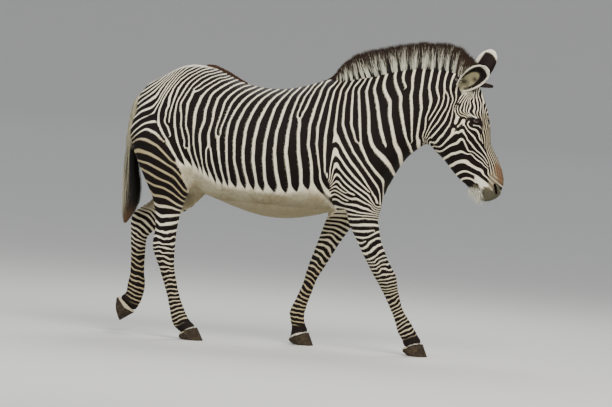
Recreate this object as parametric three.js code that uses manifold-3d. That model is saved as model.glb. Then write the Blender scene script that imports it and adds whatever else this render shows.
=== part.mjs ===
// A life-size Grevy's zebra, walking, as a still museum model. Units are millimetres. +X is forward (towards
// the head), +Y is the animal's left and +Z is up. The origin is on the floor, under the middle of the whole
// model. Three hooves stand on the floor and the left hind hoof has just left it.
//
// The flesh is one solid, joined from lofts of trunk, neck, head, shoulders and legs. It is then parted
// by thin cuts into the pieces that a person would name. Hooves, eyes, ears, mane, forelock and tail are
// solids of their own. Coat, mane and tail reach out to the tips of their hair.
import * as THREE from "three";
import { mergeVertices } from "three/addons/utils/BufferGeometryUtils.js";
import Module from "manifold-3d";

const wasm = await Module();
wasm.setup();

// ---- Driving dimensions ----
const PART_GAP = 0.4; // between one piece and the next
const EYE_RADIUS = 23;
const EYE_AT = [808, 76, 1287]; // the left eye, and the right one mirrors it
const EAR_LENGTH = 216;
const TIP_TURNS = [35, 65]; // degrees round a rounded tip at which it has a section
const BODY_WIDE = 420; // further to each side than any piece reaches
const ORIGIN_SHIFT = [40.5, 0, 0]; // brings the middle of the model's length over the origin

// ---- Sections of the lofts ----
// Each row is a section: [low x, low z, high x, high z, half width, y of its middle, egg]. The upper or front
// edge is called high. A positive egg makes that side the narrower one.
const TRUNK = [
  [-1003, 1150, -998, 1316, 96, 0, 0],
  [-985, 1066, -960, 1364, 160, 0, 0.02],
  [-925, 978, -895, 1402, 211, 0, 0.06],
  [-850, 905, -825, 1449, 238, 0, 0.1],
  [-740, 835, -740, 1482, 252, 0, 0.12],
  [-600, 772, -600, 1472, 264, 0, 0.1],
  [-450, 722, -450, 1406, 287, 0, 0.08],
  [-300, 685, -300, 1384, 296, 0, 0.08],
  [-150, 682, -155, 1401, 284, 0, 0.12],
  [-10, 710, -30, 1445, 255, 0, 0.18],
  [110, 742, 40, 1462, 229, 0, 0.26],
  [215, 778, 95, 1436, 205, 0, 0.28],
  [300, 815, 170, 1360, 172, 0, 0.26],
  [352, 842, 250, 1240, 128, 0, 0.2],
  [374, 890, 320, 1100, 80, 0, 0],
];
const NECK = [
  [240, 880, -60, 1400, 136, 0, 0.4],
  [382, 905, 110, 1464, 138, 0, 0.46],
  [424, 998, 240, 1491, 121, 0, 0.42],
  [463, 1058, 365, 1531, 101, 0, 0.35],
  [512, 1104, 470, 1553, 86, 0, 0.3],
  [545, 1128, 560, 1559, 75, 0, 0.26],
  [585, 1185, 640, 1553, 72, 0, 0.24],
  [622, 1300, 700, 1532, 66, 0, 0.2],
];
const HEAD = [
  [676, 1468, 760, 1516, 46, 0, 0],
  [642, 1418, 800, 1484, 68, 0, -0.02],
  [600, 1330, 836, 1442, 86, 0, -0.06],
  [568, 1235, 867, 1368, 97, 0, -0.1],
  [560, 1158, 889, 1292, 98, 0, -0.08],
  [598, 1105, 899, 1226, 89, 0, 0],
  [650, 1065, 905, 1172, 76, 0, 0.08],
  [695, 1015, 925, 1130, 64, 0, 0.08],
  [735, 972, 950, 1088, 56, 0, 0],
  [775, 942, 970, 1045, 54, 0, -0.06],
  [808, 912, 984, 1002, 57, 0, -0.1],
  [838, 884, 989, 956, 56, 0, -0.06],
  [868, 860, 976, 908, 45, 0, 0],
];

// Each shoulder hangs from the withers and ends in the top of a foreleg. Limb rows are for the left side.
const SHOULDER = [
  [-50, 1385, 84, 1404, 26, 50],
  [-70, 1300, 142, 1328, 56, 84],
  [-60, 1200, 210, 1214, 76, 110],
  [-30, 1095, 272, 1092, 86, 124],
  [20, 990, 324, 974, 90, 131],
  [72, 895, 352, 880, 83, 139],
  [116, 820, 345, 800, 72, 146],
  [140, 760, 310, 745, 52, 146],
];
const RIGHT_FORELEG = [
  [116, 820, 342, 800, 70, 146],
  [155, 700, 329, 712, 61, 144],
  [216, 595, 351, 605, 50, 135],
  [272, 495, 394, 508, 43, 127],
  [316, 420, 441, 434, 44, 121],
  [340, 385, 452, 402, 41, 120],
  [367, 345, 457, 360, 33, 118],
  [420, 248, 487, 262, 24, 115],
  [441, 205, 509, 222, 26, 114],
  [457, 163, 537, 186, 33, 113],
  [472, 114, 565, 146, 32, 112],
  [503, 76, 590, 106, 31, 112],
  [506, 58, 603, 88, 38, 112],
];
const LEFT_FORELEG = [
  [108, 828, 334, 806, 70, 146],
  [50, 738, 243, 742, 61, 145],
  [27, 640, 186, 652, 53, 138],
  [0, 545, 127, 558, 46, 131],
  [-30, 448, 76, 462, 43, 126],
  [-44, 396, 48, 410, 42, 124],
  [-54, 343, 20, 356, 32, 122],
  [-88, 252, -8, 262, 25, 120],
  [-106, 212, -20, 220, 27, 119],
  [-119, 170, -32, 176, 34, 118],
  [-108, 125, -30, 134, 32, 118],
  [-99, 84, -20, 104, 32, 118],
  [-104, 58, -10, 88, 39, 118],
];
const RIGHT_HIND_LEG = [
  [-895, 1350, -800, 1370, 26, 80],
  [-955, 1300, -745, 1325, 54, 94],
  [-1010, 1232, -692, 1250, 84, 110],
  [-1039, 1158, -660, 1162, 108, 124],
  [-1046, 1080, -647, 1070, 122, 132],
  [-1010, 970, -652, 950, 117, 132],
  [-956, 860, -676, 842, 97, 127],
  [-902, 757, -712, 747, 72, 118],
  [-877, 665, -738, 660, 53, 111],
  [-871, 580, -750, 573, 44, 107],
  [-882, 500, -752, 490, 45, 105],
  [-866, 445, -753, 440, 42, 105],
  [-834, 375, -748, 375, 33, 106],
  [-796, 270, -722, 275, 26, 107],
  [-778, 215, -704, 220, 26, 108],
  [-762, 155, -680, 163, 32, 108],
  [-748, 95, -654, 115, 34, 108],
  [-732, 64, -639, 99, 32, 108],
  [-710, 48, -621, 86, 37, 108],
];
const LEFT_HIND_LEG = [
  [-895, 1350, -800, 1370, 26, 80],
  [-955, 1300, -745, 1325, 54, 94],
  [-1010, 1232, -690, 1250, 84, 110],
  [-1038, 1158, -652, 1156, 107, 123],
  [-1042, 1075, -620, 1045, 120, 130],
  [-1012, 970, -594, 925, 112, 129],
  [-955, 850, -592, 790, 93, 125],
  [-905, 765, -682, 698, 70, 119],
  [-906, 730, -762, 645, 60, 115],
  [-950, 700, -836, 584, 51, 112],
  [-1000, 660, -892, 548, 46, 111],
  [-1015, 615, -912, 525, 45, 111],
  [-1008, 550, -917, 494, 38, 111],
  [-1003, 470, -916, 448, 31, 112],
  [-999, 390, -916, 385, 28, 112],
  [-998, 320, -913, 322, 29, 112],
  [-1008, 255, -904, 262, 35, 112],
  [-1010, 208, -914, 190, 33, 112],
  [-1026, 202, -930, 154, 37, 112],
];

// Each hoof is a coronet, above, and the edge of its sole, below, with the rear edge called low.
const HOOVES = {
  hoof_fore_right: { coronet: [505, 40, 612, 70, 46], sole: [516, 0, 642, 0, 56] },
  hoof_fore_left: { coronet: [-108, 33, -3, 70, 46], sole: [-101, 0, 27, 0, 56] },
  hoof_hind_right: { coronet: [-700, 35, -605, 70, 44], sole: [-697, 0, -568, 0, 53] },
  hoof_hind_left: { coronet: [-1046, 193, -953, 112, 44], sole: [-1070, 156, -1033, 60, 50] },
};
const LEGS = {
  foreleg_right: { rows: RIGHT_FORELEG, side: -1, hoof: "hoof_fore_right" },
  foreleg_left: { rows: LEFT_FORELEG, side: 1, hoof: "hoof_fore_left" },
  hind_leg_right: { rows: RIGHT_HIND_LEG, side: -1, hoof: "hoof_hind_right" },
  hind_leg_left: { rows: LEFT_HIND_LEG, side: 1, hoof: "hoof_hind_left" },
};

const MANE = [
  [40, 1436, 44, 1496, 12],
  [96, 1444, 88, 1562, 16],
  [160, 1452, 150, 1610, 19],
  [250, 1466, 232, 1645, 20],
  [350, 1494, 330, 1668, 21],
  [450, 1524, 432, 1688, 21],
  [540, 1534, 530, 1703, 21],
  [620, 1530, 622, 1707, 21],
  [690, 1514, 700, 1686, 20],
  [736, 1500, 764, 1642, 17],
  [764, 1488, 806, 1590, 12],
];
const FORELOCK = [
  [786, 1468, 800, 1502, 15],
  [828, 1476, 834, 1503, 12],
  [868, 1480, 870, 1494, 7],
];
const TAIL = [
  [-1012, 1304, -974, 1290, 20],
  [-1038, 1244, -992, 1236, 23],
  [-1053, 1160, -1008, 1156, 22],
  [-1060, 1080, -1012, 1080, 23],
  [-1063, 980, -996, 980, 31],
  [-1063, 890, -981, 890, 39],
  [-1061, 800, -966, 800, 42],
  [-1058, 720, -966, 720, 39],
  [-1057, 655, -990, 652, 30],
  [-1052, 608, -1022, 606, 14],
];

// An ear before it is placed: it grows along Z and opens towards +X.
const EAR_SHELL = [
  [-24, -30, 16, -30, 26],
  [-32, 10, 20, 10, 35],
  [-40, 50, 24, 50, 54],
  [-42, 96, 22, 96, 66],
  [-34, 148, 16, 148, 65],
  [-18, 192, 10, 192, 45],
];
const EAR_HOLLOW = [
  [-14, 44, 44, 44, 30],
  [-32, 66, 54, 66, 49],
  [-34, 100, 56, 100, 57],
  [-26, 148, 50, 148, 56],
  [-9, 190, 42, 190, 36],
];
const EARS = {
  ear_right: { root: [697, -64, 1450], along: [0.73, -0.34, 0.59], opens: [-0.1, -1, -0.35] },
  ear_left: { root: [790, 54, 1484], along: [0.41, 0.17, 0.895], opens: [0.42, 0.95, -0.25] },
};

// Muscle and bone under the skin: [x, z, reach along x, reach along z, push in mm], the same on both sides.
const SWELLS = [
  [330, 985, 60, 70, 10], // point of the shoulder
  [-690, 1395, 60, 60, 10], // hip bone
  [-610, 900, 100, 90, -14], // flank
  [636, 1205, 70, 80, 9], // cheek
  [815, 1325, 40, 24, 9], // brow
  [765, 1350, 30, 40, -6], // hollow over the eye
  [838, 1195, 60, 34, 6], // facial crest
  [770, 1090, 60, 60, -4], // hollow of the cheek
  [950, 945, 34, 36, 6], // nostril
];

// Cuts that part the flesh, as outlines in the XZ plane.
const NECK_CUT = [398, 905, 30, 1492, 30, 2000, 1300, 2000, 1300, 700, 398, 700];
const HEAD_CUT = [552, 1138, 700, 1560, 700, 2000, 1300, 2000, 1300, 700, 552, 700];
const FORE_CUT = [-260, -40, 720, -40, 720, 500, 345, 752, 190, 735, 100, 728, 20, 704, -260, 560];
const HIND_CUT = [-1200, -40, -480, -40, -560, 735, -640, 900, -1120, 1206, -1200, 1206];

// ---- Lofting ----
// One column of a table of sections, read between its rows by a Catmull-Rom curve.
function readBetween(rows, column, t) {
  const last = rows.length - 1;
  const i = Math.min(Math.floor(t), last - 1);
  const u = t - i;
  const [a, b, c, d] = [i - 1, i, i + 1, i + 2].map((k) => rows[Math.min(Math.max(k, 0), last)][column]);
  return b + 0.5 * u * (c - a + u * (2 * a - 5 * b + 4 * c - d + u * (3 * (b - c) + d - a)));
}

// How far a point of the flesh is pushed out by the muscle and bone under it.
function swellAt(x, z) {
  return SWELLS.reduce((sum, [cx, cz, rx, rz, push]) => {
    return sum + push * Math.exp(-(((x - cx) / rx) ** 2) - ((z - cz) / rz) ** 2);
  }, 0);
}

// The points of one section, on its ellipse. Under 1, boxy makes the sides fuller.
function ringOf([lowX, lowZ, highX, highZ, half, middleY = 0, egg = 0], sides, boxy) {
  return Array.from({ length: sides }, (_, k) => {
    const angle = (2 * Math.PI * k) / sides;
    const up = Math.cos(angle);
    const side = Math.sign(Math.sin(angle)) * Math.abs(Math.sin(angle)) ** boxy;
    const x = THREE.MathUtils.lerp(lowX, highX, (1 + up) / 2);
    const z = THREE.MathUtils.lerp(lowZ, highZ, (1 + up) / 2);
    return [x, middleY + (half * (1 - egg * up) + swellAt(x, z)) * side, z];
  });
}

function middleOf([lowX, lowZ, highX, highZ, , middleY = 0]) {
  return new THREE.Vector3((lowX + highX) / 2, middleY, (lowZ + highZ) / 2);
}

// A round tip that leads away from the section inside it: its rows and its last point.
function tipOf(row, inner, length) {
  const [lowX, lowZ, highX, highZ, half, middleY = 0, egg = 0] = row;
  const middle = middleOf(row);
  const away = new THREE.Vector3(lowZ - highZ, 0, highX - lowX).normalize();
  if (away.dot(middle.clone().sub(middleOf(inner))) < 0) away.negate();
  const rows = TIP_TURNS.map((degrees) => {
    const turn = THREE.MathUtils.degToRad(degrees);
    const { x, z } = middle.clone().addScaledVector(away, length * Math.sin(turn));
    const [reachX, reachZ] = [(highX - lowX) / 2, (highZ - lowZ) / 2].map((reach) => reach * Math.cos(turn));
    return [x - reachX, z - reachZ, x + reachX, z + reachZ, half * Math.cos(turn), middleY, egg];
  });
  return { rows, point: middle.addScaledVector(away, length) };
}

function flatEndOf(row) {
  return { rows: [], point: middleOf(row) };
}

// A closed solid through a table of sections. tips holds the lengths of its round ends, or 0 for a flat one.
function loft(table, { sides, steps = 1, tips = [0, 0], boxy = 1 }) {
  const columns = table[0].map((_, column) => column);
  const rows = Array.from({ length: (table.length - 1) * steps + 1 }, (_, k) => {
    return columns.map((column) => readBetween(table, column, k / steps));
  });
  const start = tips[0] ? tipOf(table[0], table[1], tips[0]) : flatEndOf(table[0]);
  const end = tips[1] ? tipOf(table.at(-1), table.at(-2), tips[1]) : flatEndOf(table.at(-1));
  const rings = [...start.rows.reverse(), ...rows, ...end.rows].map((row) => ringOf(row, sides, boxy));
  return solidOfRings(rings, start.point.toArray(), end.point.toArray());
}

// Joins rings into a closed skin, with a fan to a point at each end, and turns its faces outwards.
function solidOfRings(rings, first, last) {
  const sides = rings[0].length;
  const points = [...rings.flat(), first, last];
  const [firstPoint, lastPoint] = [points.length - 2, points.length - 1];
  const faces = [];
  for (let k = 0; k < sides; k++) {
    const next = (k + 1) % sides;
    for (let r = 0; r < rings.length - 1; r++) {
      const [a, b, c, d] = [r * sides + k, r * sides + next, (r + 1) * sides + k, (r + 1) * sides + next];
      faces.push([a, b, d], [a, d, c]);
    }
    const end = (rings.length - 1) * sides;
    faces.push([firstPoint, next, k], [lastPoint, end + k, end + next]);
  }
  const volume = faces.reduce((sum, [a, b, c]) => {
    const [p, q, r] = [a, b, c].map((i) => new THREE.Vector3(...points[i]));
    return sum + p.dot(q.cross(r));
  }, 0);
  if (volume < 0) faces.forEach((face) => face.reverse());
  return solidOf(new Float32Array(points.flat()), new Uint32Array(faces.flat()));
}

// ---- Solids ----
function solidOf(vertProperties, triVerts) {
  return new wasm.Manifold(new wasm.Mesh({ numProp: 3, vertProperties, triVerts }));
}

function solidOfGeometry(geometry) {
  geometry.deleteAttribute("normal");
  geometry.deleteAttribute("uv");
  const merged = mergeVertices(geometry, 1e-3);
  return solidOf(merged.attributes.position.array, new Uint32Array(merged.index.array));
}

// A cutter: an outline in the XZ plane, drawn out from one side to the other.
function cutter(outline, fromY, toY) {
  const corners = Array.from({ length: outline.length / 2 }, (_, i) => {
    return new THREE.Vector2(outline[2 * i], outline[2 * i + 1]);
  });
  const depth = toY - fromY;
  const geometry = new THREE.ExtrudeGeometry(new THREE.Shape(corners), { depth, bevelEnabled: false });
  return solidOfGeometry(geometry.rotateX(Math.PI / 2).translate(0, toY, 0));
}

function join(...solids) {
  return solids.reduce((all, one) => all.add(one));
}

// A piece that rests on others, cut clear of them by the gap along each given direction.
function clearOf(piece, others, ...directions) {
  return directions.reduce((rest, [x, y, z]) => {
    return rest.subtract(others.translate([x * PART_GAP, y * PART_GAP, z * PART_GAP]));
  }, piece.subtract(others));
}

function largestOf(solid) {
  return solid.decompose().reduce((best, one) => (one.volume() > best.volume() ? one : best));
}

// ---- The pieces ----
// The rows of a limb on one side: 1 is the left, as in the tables, and -1 the right.
function onSide(rows, side) {
  return rows.map(([lowX, lowZ, highX, highZ, half, y]) => [lowX, lowZ, highX, highZ, half, side * y, 0]);
}

function legOf({ rows, side, hoof }) {
  const [rearX, rearZ, frontX, frontZ, half] = HOOVES[hoof].coronet;
  const coronet = [rearX, rearZ + PART_GAP, frontX, frontZ + PART_GAP, half - 2, rows.at(-1)[5]];
  return loft(onSide([...rows, coronet], side), { sides: 14, boxy: 0.94 });
}

function hoofOf({ rows, side, hoof }) {
  const { coronet, sole } = HOOVES[hoof];
  const wall = [coronet, sole].map((edge) => [...edge, rows.at(-1)[5]]);
  return loft(onSide(wall, side), { sides: 16, boxy: 0.85 });
}

function eyeball(side, radius) {
  const [x, y, z] = EYE_AT;
  return solidOfGeometry(new THREE.SphereGeometry(radius, 14, 10).translate(x, side * y, z));
}

// Ears are shaped upright, then turned so that they grow along one direction and open towards another.
function earOf({ root, along, opens }) {
  const shell = loft(EAR_SHELL, { sides: 16, tips: [0, EAR_LENGTH - EAR_SHELL.at(-1)[1]] });
  const hollow = loft(EAR_HOLLOW, { sides: 14, tips: [14, 14] });
  const up = new THREE.Vector3(...along).normalize();
  const front = new THREE.Vector3(...opens);
  front.addScaledVector(up, -front.dot(up)).normalize();
  const across = new THREE.Vector3().crossVectors(up, front);
  const turn = new THREE.Matrix4().makeBasis(front, across, up).setPosition(...root);
  return shell.subtract(hollow).transform(turn.toArray());
}

const sockets = join(eyeball(1, EYE_RADIUS + PART_GAP), eyeball(-1, EYE_RADIUS + PART_GAP));
const flesh = join(
  loft(TRUNK, { sides: 24, steps: 2, tips: [20, 14], boxy: 0.92 }),
  loft(NECK, { sides: 20, boxy: 0.95 }),
  loft(HEAD, { sides: 20, steps: 2, tips: [14, 24], boxy: 0.86 }),
  loft(onSide(SHOULDER, 1), { sides: 14, tips: [20, 0] }),
  loft(onSide(SHOULDER, -1), { sides: 14, tips: [20, 0] }),
  ...Object.values(LEGS).map(legOf),
).subtract(sockets);

const neckOn = cutter(NECK_CUT, -BODY_WIDE, BODY_WIDE);
const headOn = cutter(HEAD_CUT, -BODY_WIDE, BODY_WIDE);
const pieces = {
  trunk: flesh
    .subtract(neckOn.translate([-PART_GAP, 0, -PART_GAP]))
    .subtract(cutter(FORE_CUT, -BODY_WIDE, BODY_WIDE).translate([0, 0, PART_GAP]))
    .subtract(cutter(HIND_CUT, -BODY_WIDE, BODY_WIDE).translate([PART_GAP, 0, PART_GAP])),
  neck: flesh.intersect(neckOn).subtract(headOn.translate([-PART_GAP, 0, 0])),
  head: flesh.intersect(headOn),
  mane: clearOf(loft(MANE, { sides: 10, tips: [8, 20] }), flesh, [0, 0, 1], [1, 0, 0]),
  forelock: clearOf(loft(FORELOCK, { sides: 8, tips: [0, 22] }), flesh, [0, 0, 1], [1, 0, 0]),
  tail: clearOf(loft(TAIL, { sides: 10, tips: [10, 18] }), flesh, [-1, 0, 0], [0, 0, -1]),
};
pieces.mane = clearOf(pieces.mane, pieces.forelock, [-1, 0, 0], [0, 0, 1]);

for (const [name, leg] of Object.entries(LEGS)) {
  const outline = name.startsWith("fore") ? FORE_CUT : HIND_CUT;
  const [fromY, toY] = leg.side > 0 ? [PART_GAP / 2, BODY_WIDE] : [-BODY_WIDE, -PART_GAP / 2];
  pieces[name] = flesh.intersect(cutter(outline, fromY, toY));
  pieces[leg.hoof] = hoofOf(leg);
}
pieces.eye_left = eyeball(1, EYE_RADIUS);
pieces.eye_right = eyeball(-1, EYE_RADIUS);
for (const [name, ear] of Object.entries(EARS)) {
  const [x, y, z] = ear.along;
  const hair = join(pieces.mane, pieces.forelock);
  pieces[name] = clearOf(earOf(ear), join(flesh, hair), [x, y, z], [0, 3 * Math.sign(y), 0]);
}

// ---- The scene graph ----
const finishes = {
  coat: { color: 0x8d877c, roughness: 0.8 },
  mane: { color: 0x4a3a30, roughness: 0.85 },
  forelock: { color: 0x241c17, roughness: 0.85 },
  tail: { color: 0x5a4c42, roughness: 0.85 },
  hoof: { color: 0x3a312a, roughness: 0.6 },
  eye: { color: 0x120c09, roughness: 0.1 },
};

function finishOf(name) {
  const found = Object.keys(finishes).find((finish) => name.startsWith(finish));
  return new THREE.MeshStandardMaterial({ ...finishes[found ?? "coat"], metalness: 0 });
}

function meshOf(name, solid) {
  const { vertProperties, triVerts } = solid.getMesh();
  const geometry = new THREE.BufferGeometry();
  geometry.setAttribute("position", new THREE.BufferAttribute(new Float32Array(vertProperties), 3));
  geometry.setIndex(new THREE.BufferAttribute(new Uint32Array(triVerts), 1));
  geometry.computeVertexNormals();
  const mesh = new THREE.Mesh(geometry, finishOf(name));
  mesh.name = name;
  return mesh;
}

const zebra = new THREE.Group();
zebra.position.set(...ORIGIN_SHIFT);
for (const [name, solid] of Object.entries(pieces)) zebra.add(meshOf(name, largestOf(solid)));

export default zebra;
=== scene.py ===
import math

import bmesh
import bpy
import numpy as np
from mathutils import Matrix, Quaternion, Vector
from mathutils.bvhtree import BVHTree
from mathutils.kdtree import KDTree


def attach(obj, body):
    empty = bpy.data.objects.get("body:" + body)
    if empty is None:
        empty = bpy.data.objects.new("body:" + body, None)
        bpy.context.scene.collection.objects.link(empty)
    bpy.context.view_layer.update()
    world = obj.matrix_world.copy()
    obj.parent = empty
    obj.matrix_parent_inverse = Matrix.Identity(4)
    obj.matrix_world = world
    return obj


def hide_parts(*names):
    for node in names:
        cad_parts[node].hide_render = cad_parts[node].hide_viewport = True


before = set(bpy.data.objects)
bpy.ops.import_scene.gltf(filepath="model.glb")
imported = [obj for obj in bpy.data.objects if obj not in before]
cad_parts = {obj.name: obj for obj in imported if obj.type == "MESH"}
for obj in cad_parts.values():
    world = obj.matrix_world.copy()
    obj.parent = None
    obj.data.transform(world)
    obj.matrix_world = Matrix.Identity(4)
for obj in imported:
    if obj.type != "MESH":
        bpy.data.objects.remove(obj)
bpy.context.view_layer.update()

# ---- Skin: the form of the hide over trunk, neck, head and legs ----
# The flesh solids are joined and given an even mesh of small faces, with thin ears grown out of
# it. The mesh is made finer on the legs and finest round the eyes, nostrils and mouth, and
# smoothed, so that muscle, bone, folds and lids can be pressed into it.
FLESH = (
    "trunk", "neck", "head", "foreleg_right", "foreleg_left", "hind_leg_right", "hind_leg_left",
)
MM = 0.001
FRAME_SHIFT = 40.5  # places below are in mm, along from a line this far behind the frame's middle
SKIN_FACE = 0.013
OVERLAP = 0.0008


def merged_copy(name, grow=OVERLAP):
    """A closed copy of a solid, swollen a little so that it overlaps its neighbours."""
    shape = bmesh.new()
    shape.from_mesh(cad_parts[name].data)
    bmesh.ops.remove_doubles(shape, verts=shape.verts, dist=1e-5)
    shape.normal_update()
    moves = [v.normal * grow for v in shape.verts]
    for v, move in zip(shape.verts, moves):
        v.co += move
    mesh = bpy.data.meshes.new(name + "_copy")
    shape.to_mesh(mesh)
    shape.free()
    return loose(mesh, name + "_copy")


def loose(mesh, name):
    """An object in the scene for a mesh."""
    piece = bpy.data.objects.new(name, mesh)
    bpy.context.scene.collection.objects.link(piece)
    return piece


def with_modifiers(piece, name):
    """A plain mesh of a piece as its modifiers leave it; the piece itself goes."""
    bpy.context.view_layer.update()
    seen = piece.evaluated_get(bpy.context.evaluated_depsgraph_get())
    mesh = bpy.data.meshes.new_from_object(seen)
    mesh.name = name
    bpy.data.objects.remove(piece)
    return mesh


def joined(pieces):
    """One closed mesh around several overlapping bodies."""
    body = pieces[0]
    for other in pieces[1:]:
        join = body.modifiers.new("join", "BOOLEAN")
        join.operation = "UNION"
        join.solver = "MANIFOLD"
        join.object = other
    mesh = with_modifiers(body, "joined")
    for other in pieces[1:]:
        bpy.data.objects.remove(other)
    return mesh


def read(items, name, width=1, kind=float):
    """One property of all items of a mesh, with a row for each where it is more than a number."""
    flat = np.empty(len(items) * width, dtype=kind)
    items.foreach_get(name, flat)
    return flat if width == 1 else flat.reshape(-1, width)


def places_of(mesh):
    return read(mesh.vertices, "co", 3)


def set_places(mesh, places):
    mesh.vertices.foreach_set("co", np.ascontiguousarray(places, dtype=np.float64).ravel())
    mesh.update()


def normals_of(mesh):
    return read(mesh.vertex_normals, "vector", 3)


def smoothed(mesh, places, steps, weight=None):
    """Places drawn towards the mean of their neighbours, a share of the way at each step."""
    a, b = read(mesh.edges, "vertices", 2, np.int32).T
    size = len(places)
    count = np.maximum(np.bincount(a, minlength=size) + np.bincount(b, minlength=size), 1.0)
    weight = np.ones(size) if weight is None else weight
    for step in steps:
        sums = [np.bincount(a, v[b], size) + np.bincount(b, v[a], size) for v in places.T]
        places = places + step * weight[:, None] * (np.stack(sums, 1) / count[:, None] - places)
    return places


def there_and_back(strength):
    """A step of smoothing and one outwards again, so that the form does not shrink."""
    return [strength, -1.02 * strength]


def soften(mesh):
    """Let light run evenly over the faces of a mesh."""
    mesh.polygons.foreach_set("use_smooth", np.ones(len(mesh.polygons), dtype=bool))


def in_mm(places):
    """Along, across and up, in mm, of places in the frame."""
    return places / MM - [FRAME_SHIFT, 0.0, 0.0]


def in_frame(places):
    """The place in the frame, in metres, of places given in mm."""
    return (places + [FRAME_SHIFT, 0.0, 0.0]) * MM


def ease(value, low, high):
    """0 below low, 1 above high, and a soft step between."""
    t = np.clip((value - low) / (high - low), 0.0, 1.0)
    return t * t * (3.0 - 2.0 * t)


# The ears are leaves rolled into cups: rows of height, back, half width, half angle of the roll.
EAR_ROWS = [
    (-26, 10, 18, 100),
    (14, 20, 26, 100),
    (40, 30, 40, 100),
    (76, 36, 54, 90),
    (116, 36, 61, 82),
    (150, 30, 60, 78),
    (180, 20, 49, 76),
    (198, 12, 35, 76),
    (209, 7, 18, 76),
]
EARS = {
    "ear_right": ((697, -64, 1450), (0.73, -0.34, 0.59), (-0.1, -1.0, -0.35)),
    "ear_left": ((790, 54, 1484), (0.41, 0.17, 0.895), (0.42, 0.95, -0.25)),
}
EAR_THICK = 7.0
EAR_ALONG = 40
EAR_ROUND = 30


def ear_basis(name):
    """The root of an ear in the frame, and the ways it opens, spreads and grows."""
    root, along, opens = EARS[name]
    up = Vector(along).normalized()
    front = Vector(opens)
    front = (front - up * front.dot(up)).normalized()
    return (Vector(root) + Vector((FRAME_SHIFT, 0, 0))) * MM, front, up.cross(front), up


def ear_point(height, turn, inwards):
    """A point of an ear that stands upright and opens towards x; turn is from -1 to 1 round it."""
    rows = np.array(EAR_ROWS, float)
    back, half, roll = (np.interp(height, rows[:, 0], rows[:, k]) for k in (1, 2, 3))
    angle = math.radians(roll) * turn
    depth = max(back - inwards, 1.0)
    width = max(half - inwards, 1.0)
    return (6.0 - depth * math.cos(angle) + 3.0 * abs(turn) ** 3, width * math.sin(angle), height)


def ear_mesh(name):
    """A closed leaf with an outer and an inner face, joined round its edge."""
    root, front, across, up = ear_basis(name)
    heights = np.interp(np.linspace(0, 1, EAR_ALONG), [0, 0.12, 1], [-26, 10, 212])
    points, faces = [], []
    for inwards in (0.0, EAR_THICK):
        for i, height in enumerate(heights):
            keep = height if inwards == 0 else min(height, 208.0)
            for j in range(EAR_ROUND + 1):
                turn = -1.0 + 2.0 * j / EAR_ROUND
                edge = 1.0 if inwards == 0 else 0.97
                x, y, z = ear_point(keep, turn * edge, inwards)
                points.append(root + (front * x + across * y + up * z) * MM)
    row = EAR_ROUND + 1
    half = EAR_ALONG * row
    for i in range(EAR_ALONG - 1):
        for j in range(EAR_ROUND):
            a, b, c, d = i * row + j, i * row + j + 1, (i + 1) * row + j + 1, (i + 1) * row + j
            faces.append((d, c, b, a))
            faces.append((half + a, half + b, half + c, half + d))
    for i in range(EAR_ALONG - 1):
        for j, flip in ((0, False), (EAR_ROUND, True)):
            a, d = i * row + j, (i + 1) * row + j
            quad = (a, half + a, half + d, d)
            faces.append(quad[::-1] if flip else quad)
    for i, flip in ((0, True), (EAR_ALONG - 1, False)):
        for j in range(EAR_ROUND):
            a, b = i * row + j, i * row + j + 1
            quad = (a, b, half + b, half + a)
            faces.append(quad[::-1] if flip else quad)
    mesh = bpy.data.meshes.new(name + "_leaf")
    mesh.from_pydata([tuple(p) for p in points], [], faces)
    shape = bmesh.new()
    shape.from_mesh(mesh)
    bmesh.ops.recalc_face_normals(shape, faces=shape.faces)
    shape.to_mesh(mesh)
    shape.free()
    return mesh


flesh = loose(joined([merged_copy(name) for name in FLESH]), "flesh")
even = flesh.modifiers.new("even", "REMESH")
even.mode = "VOXEL"
even.voxel_size = SKIN_FACE
flesh = loose(with_modifiers(flesh, "flesh"), "flesh")
set_places(flesh.data, smoothed(flesh.data, places_of(flesh.data), 10 * there_and_back(0.5)))
ears = [loose(ear_mesh(name), name + "_leaf") for name in EARS]
skin_mesh = joined([flesh, *ears])
skin_mesh.name = "skin"

# ---- Skin: finer mesh where it is seen closely ----
# Lower legs and head are divided once, the face twice, and the rims of eyes, nostrils and lips
# three times.
def divide(shape, wanted):
    """Halve the edges of all faces whose middle is wanted, given places in mm."""
    faces = list(shape.faces)
    middles = in_mm(np.array([f.calc_center_median()[:] for f in faces]))
    chosen = {faces[i] for i in np.nonzero(wanted(middles))[0]}
    edges = list({e for f in chosen for e in f.edges})
    bmesh.ops.subdivide_edges(shape, edges=edges, cuts=1, use_grid_fill=True)


EYE_AT = (808.0, 76.0, 1287.0)
EYE_RADIUS = 23.0
NOSTRIL = ((936, 951), (942, 936), (947, 918), (949, 906))
LIP_LINE = ((846, 946), (857, 925), (867, 903), (874, 880), (879, 862))


def near_line(points, line):
    """Distance in the side view from points to a line of places, in mm."""
    best = np.full(len(points), 1e9)
    flat = points[:, [0, 2]]
    for (ax, az), (bx, bz) in zip(line, line[1:]):
        run = np.array([bx - ax, bz - az], float)
        t = np.clip(((flat - (ax, az)) @ run) / (run @ run), 0, 1)
        best = np.minimum(best, np.linalg.norm(flat - (ax, az) - t[:, None] * run, axis=1))
    return best


def finer(p):
    head = (p[:, 0] > 590) & (p[:, 2] < 1000 + 2.2 * (p[:, 0] - 560)) & (p[:, 2] < 1430)
    legs = p[:, 2] < 560
    return head | legs


def face(p):
    eye = np.hypot(p[:, 0] - 808, p[:, 2] - 1287) < 85
    muzzle = (p[:, 2] < 985) & (p[:, 0] > 780)
    return (eye & (np.abs(p[:, 1]) > 30)) | muzzle


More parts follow.
